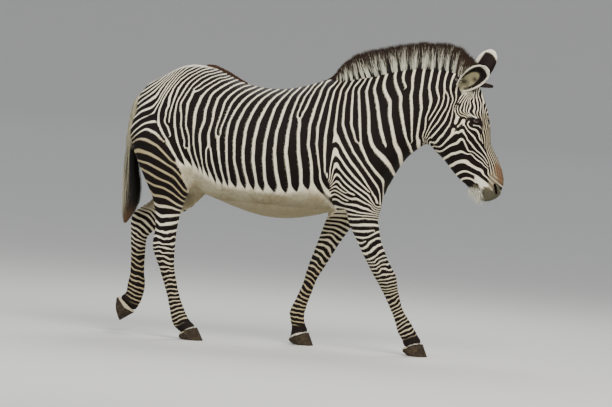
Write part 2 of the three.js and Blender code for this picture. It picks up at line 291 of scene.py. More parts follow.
def rims(p):
    eye = np.hypot((p[:, 0] - 803) / 1.3, p[:, 2] - 1283) < 34
    holes = (near_line(p, NOSTRIL) < 24) | (near_line(p, LIP_LINE) < 11)
    return (eye & (np.abs(p[:, 1]) > 40)) | (holes & (p[:, 0] > 835) & (np.abs(p[:, 1]) > 14))


places = in_mm(places_of(skin_mesh))
bulk = ease(places[:, 2], 780, 900) * ease(-places[:, 0], -620, -560)
bulk = np.maximum(bulk, ease(places[:, 2], 1020, 1100) * ease(-places[:, 0], -700, -600))
bulk *= 1.0 - ease(places[:, 2], 1400, 1440) * ease(places[:, 0], 590, 650)
places = smoothed(skin_mesh, places_of(skin_mesh), 60 * there_and_back(0.6), 0.25 + 0.75 * bulk)
set_places(skin_mesh, places)

shape = bmesh.new()
shape.from_mesh(skin_mesh)
divide(shape, finer)
divide(shape, face)
shape.to_mesh(skin_mesh)
shape.free()
places = places_of(skin_mesh)
on_ears = ease(in_mm(places)[:, 2], 1425, 1440)
set_places(skin_mesh, smoothed(skin_mesh, places, 8 * there_and_back(0.5), 1 - 0.8 * on_ears))
shape = bmesh.new()
shape.from_mesh(skin_mesh)
divide(shape, rims)
shape.to_mesh(skin_mesh)
shape.free()

# ---- Skin: muscle, bone and folds ----
# Each line is a ridge or a hollow: its two ends on the side view, how broad it is, how far it
# pushes out (or in, where below nought), and the legs or the side that it keeps to.
FORMS = (
    ((180, 1370), (225, 1110), 30, 4.5, "both"),
    ((78, 1380), (40, 1060), 42, -6.0, "both"),
    ((128, 1010), (150, 960), 62, 8.0, "both"),
    ((205, 1040), (120, 920), 18, -4.0, "both"),
    ((300, 930), (230, 850), 20, -3.5, "both"),
    ((74, 880), (84, 860), 22, 6.0, "both"),
    ((4, 960), (22, 860), 26, -7.0, "both"),
    ((560, 1170), (330, 1010), 34, 5.0, "both"),
    ((575, 1120), (350, 940), 20, -5.5, "both"),
    ((140, 1425), (660, 1475), 26, -4.0, "both"),
    ((-552, 1350), (-566, 1338), 26, 8.0, "both"),
    ((-548, 1262), (-560, 1210), 46, -9.0, "both"),
    ((-660, 955), (-560, 1010), 20, 5.0, "both"),
    ((-690, 1130), (-680, 1040), 66, 5.0, "both"),
    ((-812, 1240), (-862, 960), 22, -5.0, "both"),
    ((-985, 1210), (-1000, 1170), 34, 5.0, "both"),
    ((-640, 905), (-630, 880), 30, 4.0, "both"),
    ((790, 1244), (846, 1150), 17, 3.2, "both"),
    ((770, 1118), (800, 1075), 34, -4.0, "both"),
    ((768, 1356), (778, 1346), 20, -6.0, "both"),
    ((786, 1324), (832, 1318), 13, 4.0, "both"),
    ((858, 1255), (868, 1200), 14, -1.6, "both"),
    ((912, 962), (926, 900), 24, 3.5, "both"),
    ((838, 905), (850, 890), 17, 3.0, "both"),
    ((806, 955), (826, 935), 14, -3.0, "both"),
    ((640, 1260), (660, 1190), 26, 3.5, "both"),
    ((628, 1300), (606, 1210), 16, -4.5, "both"),
    ((402, 325), (466, 172), 8, -3.0, "right"),
    ((340, 470), (372, 452), 17, 2.5, "right"),
    ((300, 690), (340, 560), 20, 3.0, "right"),
    ((-40, 330), (-84, 170), 8, -3.0, "left"),
    ((-822, 400), (-744, 160), 8, -3.0, "right"),
    ((-846, 668), (-852, 590), 14, -6.0, "right"),
    ((-790, 660), (-780, 620), 22, 3.0, "right"),
    ((-976, 440), (-970, 260), 8, -3.0, "left"),
    ((-964, 660), (-972, 600), 13, -5.0, "left"),
    ((470, 150), (486, 132), 14, 2.0, "right"),
    ((-728, 128), (-744, 118), 14, 2.0, "right"),
)
RIBS = 9


def push(places, normals):
    """How far each place moves along its normal, in mm, from all ridges and hollows."""
    total = np.zeros(len(places))
    lines = list(FORMS)
    for k in range(RIBS):
        x = -70 - 56 * k
        lines.append(((x + 20, 1240), (x - 26, 960), 13, 0.6, "both"))
    for start, end, broad, out, side in lines:
        weight = np.exp(-((near_line(places, (start, end)) / broad) ** 2))
        if side == "right":
            weight = weight * (places[:, 1] < 0)
        elif side == "left":
            weight = weight * (places[:, 1] > 0)
        total += out * weight
    facing = ease(np.abs(normals[:, 1]), 0.15, 0.6)
    return total * facing


def fill_socket(p):
    """Even out the hollow that the solid head has round the eyes."""
    for side in (-1, 1):
        away = np.hypot(p[:, 0] - EYE_AT[0], p[:, 2] - EYE_AT[2])
        same = (p[:, 1] * side > 30) & (p[:, 0] > 700)
        ring = same & (away > 36) & (away < 58)
        dx, dz = (p[:, 0] - EYE_AT[0]) / 50, (p[:, 2] - EYE_AT[2]) / 50
        terms = np.stack([np.ones(len(p)), dx, dz, dx * dx, dx * dz, dz * dz], 1)
        fit = np.linalg.lstsq(terms[ring], np.abs(p[ring, 1]), rcond=None)[0]
        inside = same & (away < 42)
        part = 1 - ease(away[inside], 32, 42)
        depth = np.abs(p[inside, 1]) * (1 - part) + (terms[inside] @ fit) * part
        p[inside, 1] = side * depth


LID_TURN = math.radians(-17)
LID = 2.4


def lids(p):
    """Lift the skin over each eyeball and open it between two lids."""
    dx, dz = p[:, 0] - EYE_AT[0], p[:, 2] - EYE_AT[2]
    u = dx * math.cos(LID_TURN) + dz * math.sin(LID_TURN)
    v = -dx * math.sin(LID_TURN) + dz * math.cos(LID_TURN)
    reach = np.clip(np.abs(u) / 22.0, 0, 1)
    upper = 10.5 * (1 - reach**2.3) - np.maximum(np.abs(u) - 22.0, 0)
    lower = -11.5 * (1 - reach**2.0) + np.maximum(np.abs(u) - 22.0, 0)
    gap = np.maximum(v - upper, lower - v)
    near = (np.hypot(dx, dz) < 46) & (np.abs(p[:, 1]) > 40)
    depth = np.abs(p[:, 1])
    square = (EYE_RADIUS + LID) ** 2 - dx * dx - dz * dz
    ball = EYE_AT[1] + np.sign(square) * np.sqrt(np.abs(square))
    lifted = 0.5 * (depth + ball + np.sqrt((depth - ball) ** 2 + 16.0))
    crease = -1.5 * np.exp(-(((v - upper) - 7.5) / 2.2) ** 2) * (np.abs(u) < 24)
    crease += 1.4 * np.exp(-(((v - upper) - 13.0) / 3.5) ** 2) * (np.abs(u) < 28)
    crease += -1.1 * np.exp(-(((lower - v) - 6.5) / 2.2) ** 2) * (np.abs(u) < 22)
    lifted += crease - 13.0 * (1 - ease(gap, -2.2, 0.2))
    p[near, 1] = np.sign(p[near, 1]) * lifted[near]


def nostrils_and_lips(p, n):
    away = near_line(p, NOSTRIL)
    half = 5.5 - 2.5 * np.abs(p[:, 2] - 930) / 25
    side = (np.abs(p[:, 1]) > 14) & (p[:, 0] > 900)
    gap = away - half
    inwards = 13.0 * (1 - ease(gap, -2.8, 0.6)) - 2.4 * np.exp(-(((gap - 4.0) / 3.2) ** 2))
    move = np.where(side, inwards, 0)
    lip = near_line(p, LIP_LINE + ((892, 846),))
    front = (p[:, 0] > 835) & (p[:, 2] < 960)
    groove = 3.2 * np.exp(-((lip / 2.6) ** 2)) - 1.4 * np.exp(-(((lip - 8.0) / 4.5) ** 2))
    move += np.where(front, groove, 0)
    p -= n * move[:, None]


SEAMS = (
    ((60, 1390), (75, 1360), (200, 1165), (337, 948)),
    ((90, 1080), (30, 900), (100, 760)),
    ((-560, 1080), (-600, 860), (-560, 800)),
)


# Dents between the joined bodies fill along the seams.
places = places_of(skin_mesh)
away = np.min([near_line(in_mm(places), line) for line in SEAMS], axis=0)
places = smoothed(skin_mesh, places, [0.6] * 60, np.exp(-((away / 55) ** 2)))
set_places(skin_mesh, places)
p = in_mm(places_of(skin_mesh))
fill_socket(p)
set_places(skin_mesh, in_frame(p))
n = normals_of(skin_mesh)
slim = ease(p[:, 2], 560, 760) * (1 - ease(p[:, 0], 600, 700))
depth = 2.2 + 3.3 * slim
depth *= 1 - 0.8 * ease(p[:, 2], 1420, 1450) * ease(p[:, 0], 660, 690)
p += n * (push(p, n) - depth)[:, None]
lids(p)
nostrils_and_lips(p, n)
set_places(skin_mesh, in_frame(p))

# ---- Skin: markings ----
# Each region has white lines, numbered in order, drawn as places (along, up) in mm on its side
# view. A smooth field passes through the numbers, so that a stripe is white where the field is
# near a whole number. Where a stripe forks, a twist in the field adds or drops one number.
BODY_LINES = (
    (-10, (-868, 1398), (-905, 1362), (-962, 1312), (-1000, 1285), (-1040, 1240)),
    (-9, (-913, 1334), (-941, 1306), (-981, 1274), (-1017, 1240), (-1047, 1195)),
    (-8, (-868, 1375), (-889, 1341), (-911, 1300), (-949, 1268), (-990, 1238), (-1024, 1204)),
    (-8, (-1024, 1204), (-1052, 1156)),
    (-7, (-847, 1375), (-883, 1311), (-900, 1272), (-919, 1245), (-949, 1226), (-987, 1208)),
    (-7, (-987, 1208), (-1024, 1170), (-1054, 1132)),
    (-6, (-859, 1334), (-879, 1296), (-894, 1259), (-918, 1207)),
    (-5, (-756, 1442), (-800, 1402), (-837, 1347), (-857, 1313), (-874, 1277), (-889, 1225)),
    (-5, (-892, 1190), (-884, 1146), (-864, 1108), (-838, 1070), (-814, 1028), (-786, 986),
     (-760, 940), (-746, 922)),
    (-4, (-710, 1449), (-751, 1426), (-789, 1392), (-819, 1351), (-836, 1302), (-839, 1250)),
    (-4, (-850, 1200), (-856, 1168), (-842, 1146), (-832, 1126), (-819, 1090)),
    (-3, (-690, 1444), (-728, 1420), (-760, 1392), (-784, 1362), (-800, 1330), (-815, 1279)),
    (-3, (-823, 1250), (-831, 1204), (-832, 1160)),
    (-2, (-630, 1449), (-670, 1437), (-710, 1410), (-742, 1380), (-764, 1342), (-782, 1304)),
    (-2, (-799, 1250), (-804, 1204), (-800, 1156), (-790, 1104), (-776, 1056), (-740, 980)),
    (-1, (-600, 1444), (-640, 1432), (-680, 1410), (-710, 1382), (-732, 1352), (-754, 1314)),
    (-1, (-774, 1274), (-776, 1250), (-768, 1210), (-765, 1150), (-752, 1100), (-730, 1036)),
    (0, (-550, 1422), (-590, 1412), (-630, 1386), (-664, 1362)),
    (0, (-580, 1434), (-620, 1420), (-660, 1394), (-688, 1368), (-712, 1343)),
    (0, (-720, 1314), (-737, 1274), (-742, 1204), (-740, 1152), (-722, 1104), (-708, 1008)),
    (0, (-708, 1008), (-690, 964)),
    (1, (-520, 1420), (-564, 1405), (-608, 1376), (-640, 1348), (-667, 1312), (-689, 1250)),
    (1, (-696, 1200), (-696, 1100), (-693, 1060), (-678, 1000), (-658, 950), (-648, 924)),
    (2, (-486, 1413), (-516, 1400), (-554, 1378), (-592, 1350), (-619, 1318), (-639, 1250)),
    (2, (-644, 1180), (-660, 1130), (-662, 1100), (-658, 1068), (-648, 1000), (-630, 924)),
    (3, (-436, 1402), (-472, 1394), (-508, 1376), (-550, 1344), (-578, 1310), (-595, 1250)),
    (3, (-602, 1180), (-615, 1120), (-612, 1080), (-610, 1052)),
    (3, (-622, 1014), (-619, 980), (-612, 944), (-594, 904)),
    (3, (-600, 1036), (-594, 1010), (-588, 980), (-568, 915), (-548, 869)),
    (4, (-408, 1394), (-444, 1382), (-484, 1358), (-516, 1330), (-540, 1294), (-575, 1150)),
    (4, (-392, 1379), (-434, 1360), (-474, 1330), (-504, 1290), (-519, 1250), (-552, 1150)),
    (4, (-562, 1090), (-559, 1050), (-548, 984), (-534, 927), (-514, 869)),
    (5, (-360, 1372), (-388, 1356), (-424, 1330), (-454, 1296), (-480, 1256), (-505, 1200)),
    (5, (-515, 1150), (-518, 1100), (-509, 984), (-499, 927), (-485, 869)),
    (6, (-298, 1378), (-332, 1362), (-374, 1334), (-406, 1302), (-432, 1264), (-459, 1200)),
    (6, (-470, 1150), (-476, 1100), (-468, 984), (-450, 927), (-433, 869)),
    (7, (-260, 1378), (-298, 1358), (-336, 1328), (-364, 1294), (-388, 1250), (-407, 1200)),
    (7, (-419, 1150), (-425, 1041), (-419, 984), (-407, 927)),
    (8, (-230, 1372), (-268, 1346), (-300, 1312), (-324, 1270), (-353, 1200), (-370, 1100)),
    (8, (-370, 1100), (-369, 1001), (-359, 951), (-339, 864)),
    (9, (-220, 1352), (-250, 1318), (-272, 1280), (-294, 1200), (-310, 1100), (-311, 1001)),
    (9, (-311, 1001), (-298, 901)),
    (10, (-189, 1350), (-214, 1300), (-229, 1250), (-254, 1150), (-257, 1050), (-243, 951)),
    (10, (-243, 951), (-220, 869)),
    (11, (-148, 1350), (-166, 1300), (-180, 1250), (-193, 1150), (-197, 1050), (-177, 951)),
    (11, (-177, 951), (-161, 869)),
    (12, (-62, 1425), (-82, 1400), (-116, 1350), (-135, 1300), (-148, 1258)),
    (12, (-33, 1428), (-59, 1400), (-85, 1350), (-103, 1300), (-123, 1258)),
    (12, (-134, 1200), (-137, 1150), (-128, 1050), (-108, 951), (-105, 901)),
    (13, (-7, 1434), (-26, 1400), (-56, 1300), (-79, 1200), (-80, 1100), (-56, 1001), (-49, 927)),
    (14, (53, 1449), (9, 1396), (-16, 1300), (-36, 1200), (-35, 1100), (-16, 1001), (-7, 961)),
    (15, (75, 1453), (40, 1394), (26, 1328), (19, 1251), (8, 1150), (10, 1050), (19, 961)),
    (16, (101, 1447), (77, 1403), (64, 1328), (59, 1240), (57, 1178)),
    (16, (70, 1154), (90, 1114), (120, 1068), (154, 1022), (190, 982), (222, 944), (320, 810)),
    (17, (136, 1453), (104, 1387), (97, 1306), (97, 1222), (119, 1160), (164, 1076), (300, 906)),
    (18, (172, 1456), (144, 1420), (140, 1394), (139, 1306), (143, 1218), (163, 1166)),
    (18, (198, 1456), (174, 1416), (172, 1383), (180, 1306), (191, 1200), (196, 1160)),
    (18, (200, 1118), (222, 1072), (246, 1028), (282, 986), (352, 914)),
    (19, (224, 1451), (213, 1405), (216, 1372), (231, 1295), (240, 1189), (256, 1132)),
    (19, (282, 1094), (324, 1058), (364, 1016), (402, 954)),
    (20, (260, 1447), (254, 1416), (271, 1354), (286, 1280), (304, 1200), (328, 1134)),
    (21, (305, 1467), (304, 1436), (313, 1407), (342, 1357), (346, 1278), (384, 1134)),
    (21, (384, 1134), (414, 1084), (434, 1000), (446, 970)),
    (22, (364, 1467), (375, 1438), (399, 1381), (399, 1337), (421, 1242), (441, 1172),
     (484, 1090), (512, 1062)),
    (23, (405, 1478), (421, 1440)),
    (24, (456, 1458), (456, 1425), (452, 1396), (461, 1326), (465, 1271), (473, 1172)),
    (25, (509, 1476), (503, 1403), (513, 1330), (506, 1260), (500, 1176), (514, 1120)),
    (25, (514, 1120), (540, 1092)),
    (26, (549, 1478), (546, 1454), (562, 1374), (553, 1322), (542, 1289), (540, 1220)),
    (26, (538, 1160), (541, 1134), (564, 1104)),
    (27, (590, 1476), (588, 1447), (604, 1392), (597, 1359), (584, 1328), (562, 1286)),
    (28, (628, 1466), (632, 1440)),
    (28, (629, 1393), (619, 1350), (608, 1328), (588, 1289), (573, 1260), (549, 1201)),
    (28, (654, 1400), (650, 1354), (638, 1331), (606, 1266), (579, 1227), (562, 1201)),
    (29, (667, 1424), (679, 1389), (667, 1350), (652, 1300), (640, 1270), (610, 1224),
     (592, 1200), (555, 1160)),
    (30, (683, 1344), (681, 1319), (674, 1270), (662, 1244), (636, 1200), (572, 1126)),
    (31, (715, 1402), (690, 1344), (709, 1290), (706, 1264), (688, 1208), (644, 1150)),
    (31, (644, 1150), (626, 1134)),
    (31, (720, 1218), (738, 1235), (750, 1217), (771, 1183), (799, 1155), (828, 1125)),
    (31, (858, 1103), (877, 1083), (896, 1055)),
    (30, (710, 1250), (724, 1262), (736, 1284), (748, 1277), (755, 1253), (782, 1221)),
    (30, (810, 1195), (834, 1165), (856, 1138)),
    (29, (765, 1265), (779, 1248), (813, 1238), (833, 1209), (839, 1190)),
    (32, (598, 1102), (640, 1112), (680, 1144), (720, 1163), (744, 1185), (756, 1172)),
    (32, (774, 1136), (786, 1120)),
    (33, (655, 1069), (692, 1099), (715, 1105), (756, 1114), (795, 1107), (823, 1084)),
    (33, (860, 1062), (892, 1036), (901, 1000)),
    (34, (684, 1026), (702, 1038), (718, 1052), (752, 1064), (789, 1051), (836, 1028)),
    (34, (873, 1000), (892, 987)),
    (35, (730, 989), (744, 1000), (780, 1011), (817, 998), (836, 991), (868, 970), (900, 948)),
    (36, (759, 965), (771, 972), (808, 972)),
)
# Forks: place, way of the extra or missing stripe, and 1 where it is extra or -1 where missing.
BODY_FORKS = (
    ((-562, 1115), (0, 1), 1),
    ((-610, 1040), (0, -1), 1),
    ((-136, 1242), (0, 1), 1),
    ((-706, 1345), (0.8, 0.6), 1),
    ((-730, 1036), (0, -1), -1),
    ((-832, 1158), (0, -1), -1),
    ((-819, 1088), (0, -1), -1),
    ((186, 1134), (0, 1), 1),
    ((342, 1112), (0, -1), -1),
    ((421, 1430), (0, -1), -1),
    ((474, 1146), (0, -1), -1),
    ((557, 1275), (0, -1), -1),
    ((638, 1425), (0, -1), 1),
)
# Shoulder and near foreleg, numbered downwards.
FORE_LINES = (
    (0, (57, 1165), (90, 1114), (120, 1068), (154, 1022), (190, 982), (222, 944), (320, 810)),
    (0, (57, 1165), (42, 1110), (32, 1050), (31, 960)),
    (1, (52, 1030), (60, 1085), (96, 1036), (130, 994), (166, 954), (210, 914), (266, 868)),
    (1, (52, 1030), (46, 980), (48, 924)),
    (2, (62, 976), (72, 1010), (90, 988), (122, 954), (158, 920), (200, 888), (240, 864)),
    (2, (240, 864), (270, 838), (296, 798)),
    (2, (62, 976), (56, 930)),
    (3, (70, 936), (78, 950), (110, 928), (134, 904), (170, 878), (210, 854), (264, 816)),
    (4, (80, 912), (114, 888), (146, 864), (180, 850)),
    (5, (80, 886), (116, 864), (140, 852)),
    (6, (78, 864), (110, 850), (148, 830), (170, 824), (196, 828), (236, 812), (280, 794)),
    (7, (88, 842), (126, 820), (150, 813)),
    (8, (100, 812), (120, 800), (140, 794), (200, 792), (244, 778), (270, 770), (300, 760)),
    (9, (110, 770), (160, 766), (220, 754), (262, 752)),
    (10, (120, 742), (190, 740), (270, 738)),
    (11, (144, 716), (200, 718), (250, 726), (316, 722)),
    (12, (180, 684), (231, 687), (294, 692), (329, 688)),
    (13, (195, 654), (231, 653), (281, 659), (304, 665)),
    (14, (205, 622), (256, 619), (281, 629), (317, 652), (337, 657)),
    (15, (213, 598), (236, 586), (256, 596), (266, 602)),
    (16, (233, 563), (251, 559), (269, 568), (289, 601), (327, 620), (347, 621)),
    (17, (253, 534), (269, 535), (299, 560), (335, 588), (365, 585)),
    (18, (276, 502), (297, 508), (324, 527), (347, 554), (366, 558)),
    (19, (304, 490), (332, 508), (362, 526), (385, 531)),
    (20, (291, 472), (312, 472), (332, 480), (357, 502), (395, 512)),
    (21, (304, 455), (330, 458), (357, 479), (403, 492)),
    (22, (317, 436), (339, 439), (357, 457), (413, 459)),
    (23, (332, 413), (357, 422), (390, 432), (410, 436)),
    (24, (340, 396), (372, 402), (412, 412)),
    (25, (350, 380), (380, 385), (420, 394)),
    (26, (360, 364), (390, 368), (430, 378)),
    (27, (372, 350), (400, 352), (438, 362)),
    (28, (383, 334), (414, 342), (444, 350)),
    (29, (393, 314), (430, 328), (455, 338)),
    (30, (412, 293), (443, 314), (460, 322)),
    (31, (419, 269), (450, 292), (464, 305)),
    (32, (426, 248), (457, 266), (470, 282)),
    (33, (433, 228), (464, 245), (480, 258)),
    (34, (438, 208), (466, 228), (490, 242)),
    (35, (444, 190), (470, 208), (498, 224)),
    (36, (455, 170), (484, 190), (504, 206)),
    (37, (462, 150), (488, 170), (514, 190)),
    (38, (474, 134), (500, 152), (526, 172)),
    (39, (488, 118), (512, 134), (540, 152)),
    (40, (502, 104), (526, 118), (556, 136)),
)
FORE_FORKS = (
    ((190, 846), (1, 0), -1),
    ((144, 851), (1, 0), -1),
    ((154, 812), (1, 0), -1),
    ((268, 866), (1, 0), -1),
    ((309, 666), (1, 0), -1),
    ((270, 604), (1, 0), -1),
)
# Thigh and near hind leg, numbered downwards.
HIND_LINES = (
    (3, (-1046, 1102), (-1024, 1136), (-992, 1168), (-954, 1190), (-918, 1212)),
    (4, (-1040, 1066), (-1014, 1102), (-982, 1132), (-950, 1151), (-918, 1160)),
    (5, (-984, 1100), (-952, 1118), (-926, 1110), (-894, 1096), (-870, 1074)),
    (6, (-1028, 1032), (-1004, 1054), (-966, 1062), (-926, 1052), (-886, 1034), (-802, 958)),
    (7, (-1008, 990), (-976, 998), (-926, 988), (-876, 966), (-837, 944), (-802, 926)),
    (7, (-783, 912), (-743, 872)),
    (8, (-981, 944), (-930, 935), (-902, 923), (-837, 895), (-783, 870), (-732, 811)),
    (9, (-972, 905), (-925, 886), (-872, 860), (-806, 837), (-785, 823), (-732, 772)),
    (10, (-935, 839), (-895, 821), (-837, 809), (-790, 786), (-727, 744)),
    (11, (-915, 790), (-893, 766), (-841, 762), (-813, 756), (-767, 728), (-740, 716)),
    (12, (-893, 727), (-860, 710), (-809, 709), (-778, 704), (-740, 692)),
    (13, (-870, 672), (-844, 655), (-793, 661), (-743, 668)),
    (14, (-862, 626), (-844, 612), (-793, 617), (-743, 631)),
    (15, (-866, 586), (-844, 572), (-819, 568), (-768, 578), (-745, 591)),
    (16, (-874, 544), (-836, 538), (-819, 531), (-778, 540), (-748, 552)),
    (17, (-874, 506), (-847, 512), (-824, 505), (-776, 510), (-755, 517)),
    (18, (-879, 480), (-844, 492), (-819, 488), (-776, 481), (-755, 484)),
    (19, (-879, 454), (-844, 466), (-819, 459), (-778, 457), (-753, 459)),
    (20, (-872, 431), (-849, 440), (-814, 438), (-778, 428), (-753, 430)),
    (21, (-860, 408), (-831, 408), (-814, 414), (-778, 404), (-758, 406)),
    (22, (-847, 386), (-831, 380), (-798, 388), (-765, 376)),
    (23, (-826, 358), (-798, 360), (-778, 366), (-750, 366)),
    (24, (-805, 328), (-786, 336), (-765, 345), (-746, 342)),
    (25, (-800, 304), (-777, 314), (-744, 317)),
    (26, (-797, 282), (-770, 290), (-738, 294)),
    (27, (-793, 259), (-753, 269), (-723, 268)),
    (28, (-784, 233), (-749, 247), (-722, 248)),
    (29, (-774, 212), (-745, 224), (-714, 228)),
    (30, (-768, 194), (-745, 203), (-710, 208)),
    (31, (-760, 172), (-739, 181), (-702, 190)),
    (32, (-748, 150), (-725, 163), (-692, 172)),
    (33, (-740, 132), (-715, 144), (-686, 153)),
    (34, (-730, 112), (-708, 124), (-680, 135)),
    (35, (-718, 95), (-700, 104), (-672, 116)),
)
# Far legs, as their inner sides show them, numbered downwards.
FAR_FORE_LINES = (
    (0, (40, 690), (120, 675), (185, 640)),
    (1, (35, 655), (100, 650), (165, 620)),
    (2, (30, 630), (90, 626), (148, 592)),
    (3, (25, 602), (75, 612), (128, 570)),
    (4, (10, 578), (60, 582), (112, 535)),
    (5, (-5, 552), (40, 556), (72, 530), (95, 495)),
    (6, (-15, 526), (20, 525), (50, 505), (88, 470)),
    (7, (-20, 500), (20, 490), (50, 455), (78, 448)),
    (8, (-25, 470), (0, 462), (40, 425), (66, 420)),
    (9, (-30, 440), (0, 430), (40, 395), (52, 392)),
    (10, (-35, 410), (0, 395), (30, 368)),
    (11, (-40, 383), (-10, 365), (18, 346)),
    (12, (-44, 358), (-14, 340), (6, 324)),
    (13, (-50, 332), (-24, 308), (-8, 296)),
    (14, (-60, 302), (-36, 284), (-16, 276)),
    (15, (-70, 274), (-50, 260), (-26, 252)),
    (16, (-76, 246), (-50, 238), (-30, 232)),
    (17, (-80, 222), (-56, 216), (-34, 212)),
    (18, (-88, 200), (-60, 196), (-37, 193)),
    (19, (-98, 176), (-66, 174), (-38, 172)),
    (20, (-104, 152), (-72, 150), (-34, 146)),
    (21, (-100, 130), (-76, 128), (-34, 124)),
    (22, (-100, 108), (-70, 104), (-30, 100)),
)
FAR_HIND_LINES = (
    (0, (-940, 705), (-910, 699), (-885, 672), (-870, 655)),
    (1, (-952, 683), (-907, 665), (-880, 630), (-866, 615)),
    (2, (-960, 658), (-910, 636), (-882, 603), (-863, 587)),
    (3, (-985, 632), (-929, 609), (-896, 575), (-878, 562)),
    (4, (-1004, 606), (-951, 585), (-918, 552)),
    (5, (-1006, 580), (-964, 556), (-930, 535)),
    (6, (-1008, 556), (-964, 530), (-940, 516)),
    (7, (-1008, 530), (-960, 502), (-935, 494)),
    (8, (-1004, 500), (-956, 476), (-926, 474)),
    (9, (-998, 468), (-950, 450), (-921, 454)),
    (10, (-996, 442), (-960, 424), (-921, 430)),
    (11, (-996, 417), (-959, 396), (-930, 400)),
    (12, (-994, 393), (-962, 366), (-930, 364)),
    (13, (-990, 356), (-962, 338), (-922, 334)),
    (14, (-990, 322), (-952, 306), (-911, 300)),
    (15, (-987, 294), (-952, 278), (-911, 274)),
    (16, (-988, 264), (-952, 248), (-909, 240)),
    (17, (-980, 236), (-940, 222), (-908, 215)),
    (18, (-974, 212), (-944, 200), (-912, 194)),
)
# Fine lines of the forehead and nose, numbered from the ear towards the middle of the face.
FACE_LINES = (
    (0, (725, 1393), (706, 1362), (706, 1338), (721, 1313), (752, 1306)),
    (1, (733, 1387), (721, 1350), (725, 1327)),
    (2, (768, 1423), (760, 1410), (743, 1377), (742, 1350), (745, 1327)),
    (3, (760, 1385), (758, 1365), (756, 1331)),
    (4, (780, 1440), (769, 1400), (773, 1377), (772, 1354), (769, 1327)),
    (5, (794, 1458), (786, 1422), (790, 1385), (798, 1350), (796, 1331), (806, 1312)),
    (6, (802, 1441), (804, 1416), (812, 1385), (817, 1350), (813, 1323), (821, 1308)),
    (7, (811, 1435), (825, 1398), (831, 1377), (829, 1331), (833, 1313), (843, 1290)),
    (7, (845, 1257), (835, 1236), (840, 1219), (848, 1195), (861, 1150)),
    (8, (835, 1422), (848, 1393), (842, 1373), (844, 1350), (848, 1290), (852, 1238)),
    (8, (858, 1215), (864, 1193), (870, 1150), (877, 1110), (892, 1083)),
    (9, (854, 1315), (852, 1296), (854, 1273), (860, 1253), (868, 1228), (873, 1203)),
    (9, (880, 1140), (892, 1106)),
    (10, (864, 1319), (864, 1300), (866, 1277), (874, 1240)),
    (11, (879, 1308), (881, 1286), (883, 1257), (884, 1203)),
    (12, (889, 1296), (895, 1267)),
)


def stepped(line, step=28.0):
    """Places spaced evenly along a line."""
    spots = [line[0]]
    for (ax, az), (bx, bz) in zip(line, line[1:]):
        count = max(1, round(math.hypot(bx - ax, bz - az) / step))
        for i in range(1, count + 1):
            spots.append((ax + (bx - ax) * i / count, az + (bz - az) * i / count))
    return np.array(spots, float)


def one_twist(spots, fork, onward):
    """What a fork adds to a field that grows along onward, and how far each place is past it."""
    (x, z), (ux, uz), sign = fork
    wx, wz = uz, -ux
    if wx * onward[0] + wz * onward[1] < 0:
        wx, wz = -wx, -wz
    dx, dz = spots[:, 0] - x, spots[:, 1] - z
    past = dx * ux + dz * uz
    return sign * np.arctan2(-(dx * wx + dz * wz), -past) / (2 * math.pi), past


def numbered(lines, forks, onward):
    """Places along all lines, and the number each has once the forks are taken away."""
    all_spots, all_numbers = [], []
    for number, *line in lines:
        spots = stepped(line)
        left = np.full(len(spots), float(number))
        for fork in forks:
            turn, past = one_twist(spots, fork, onward)
            start = int(np.argmin(past))
            ahead = np.unwrap(turn[start:], period=1.0)
            back = np.unwrap(turn[: start + 1][::-1], period=1.0)[::-1]
            left -= np.concatenate([back[:-1], ahead])
        all_spots.append(spots)
        all_numbers.append(left)
    return np.concatenate(all_spots), np.concatenate(all_numbers)


def bend_of(apart):
    """The share that one spot has in a least bent surface, at a distance."""
    square = (apart**2).sum(axis=-1)
    return 0.5 * square * np.log(square + 1e-12)


def smooth_field(spots, numbers, wanted, ease_by=2e-5):
    """The least bent surface through numbers at spots, read at the wanted places."""
    a = spots / 1000.0
    n = len(a)
    top = np.hstack([bend_of(a[:, None] - a[None]) + ease_by * np.eye(n), np.ones((n, 1)), a])
    low = np.hstack([np.vstack([np.ones(n), a.T]), np.zeros((3, 3))])
    parts = np.linalg.solve(np.vstack([top, low]), np.concatenate([numbers, np.zeros(3)]))
    values = np.empty(len(wanted))
    for start in range(0, len(wanted), 8000):
        b = wanted[start : start + 8000] / 1000.0
        bends = bend_of(b[:, None] - a[None]) @ parts[:n]
        values[start : start + 8000] = bends + parts[n] + b @ parts[n + 1 :]
    return values


def field_of(lines, forks, onward, wanted):
    spots, numbers = numbered(lines, forks, onward)
    return smooth_field(spots, numbers, wanted)


def inside_of(points, ring, soft):
    """How far inside a closed outline of the side view points lie: 0 out, 1 in, soft between."""
    flat = points[:, [0, 2]]
    inside = np.zeros(len(points), bool)
    for (ax, az), (bx, bz) in zip(ring, ring[1:] + ring[:1]):
        crosses = (flat[:, 1] < az) != (flat[:, 1] < bz)
        with np.errstate(divide="ignore", invalid="ignore"):
            at = (bx - ax) * (flat[:, 1] - az) / (bz - az if bz != az else 1e-9) + ax
        inside ^= crosses & (flat[:, 0] < at)
    away = near_line(points, ring + ring[:1])
    return ease(np.where(inside, away, -away), -soft, soft)


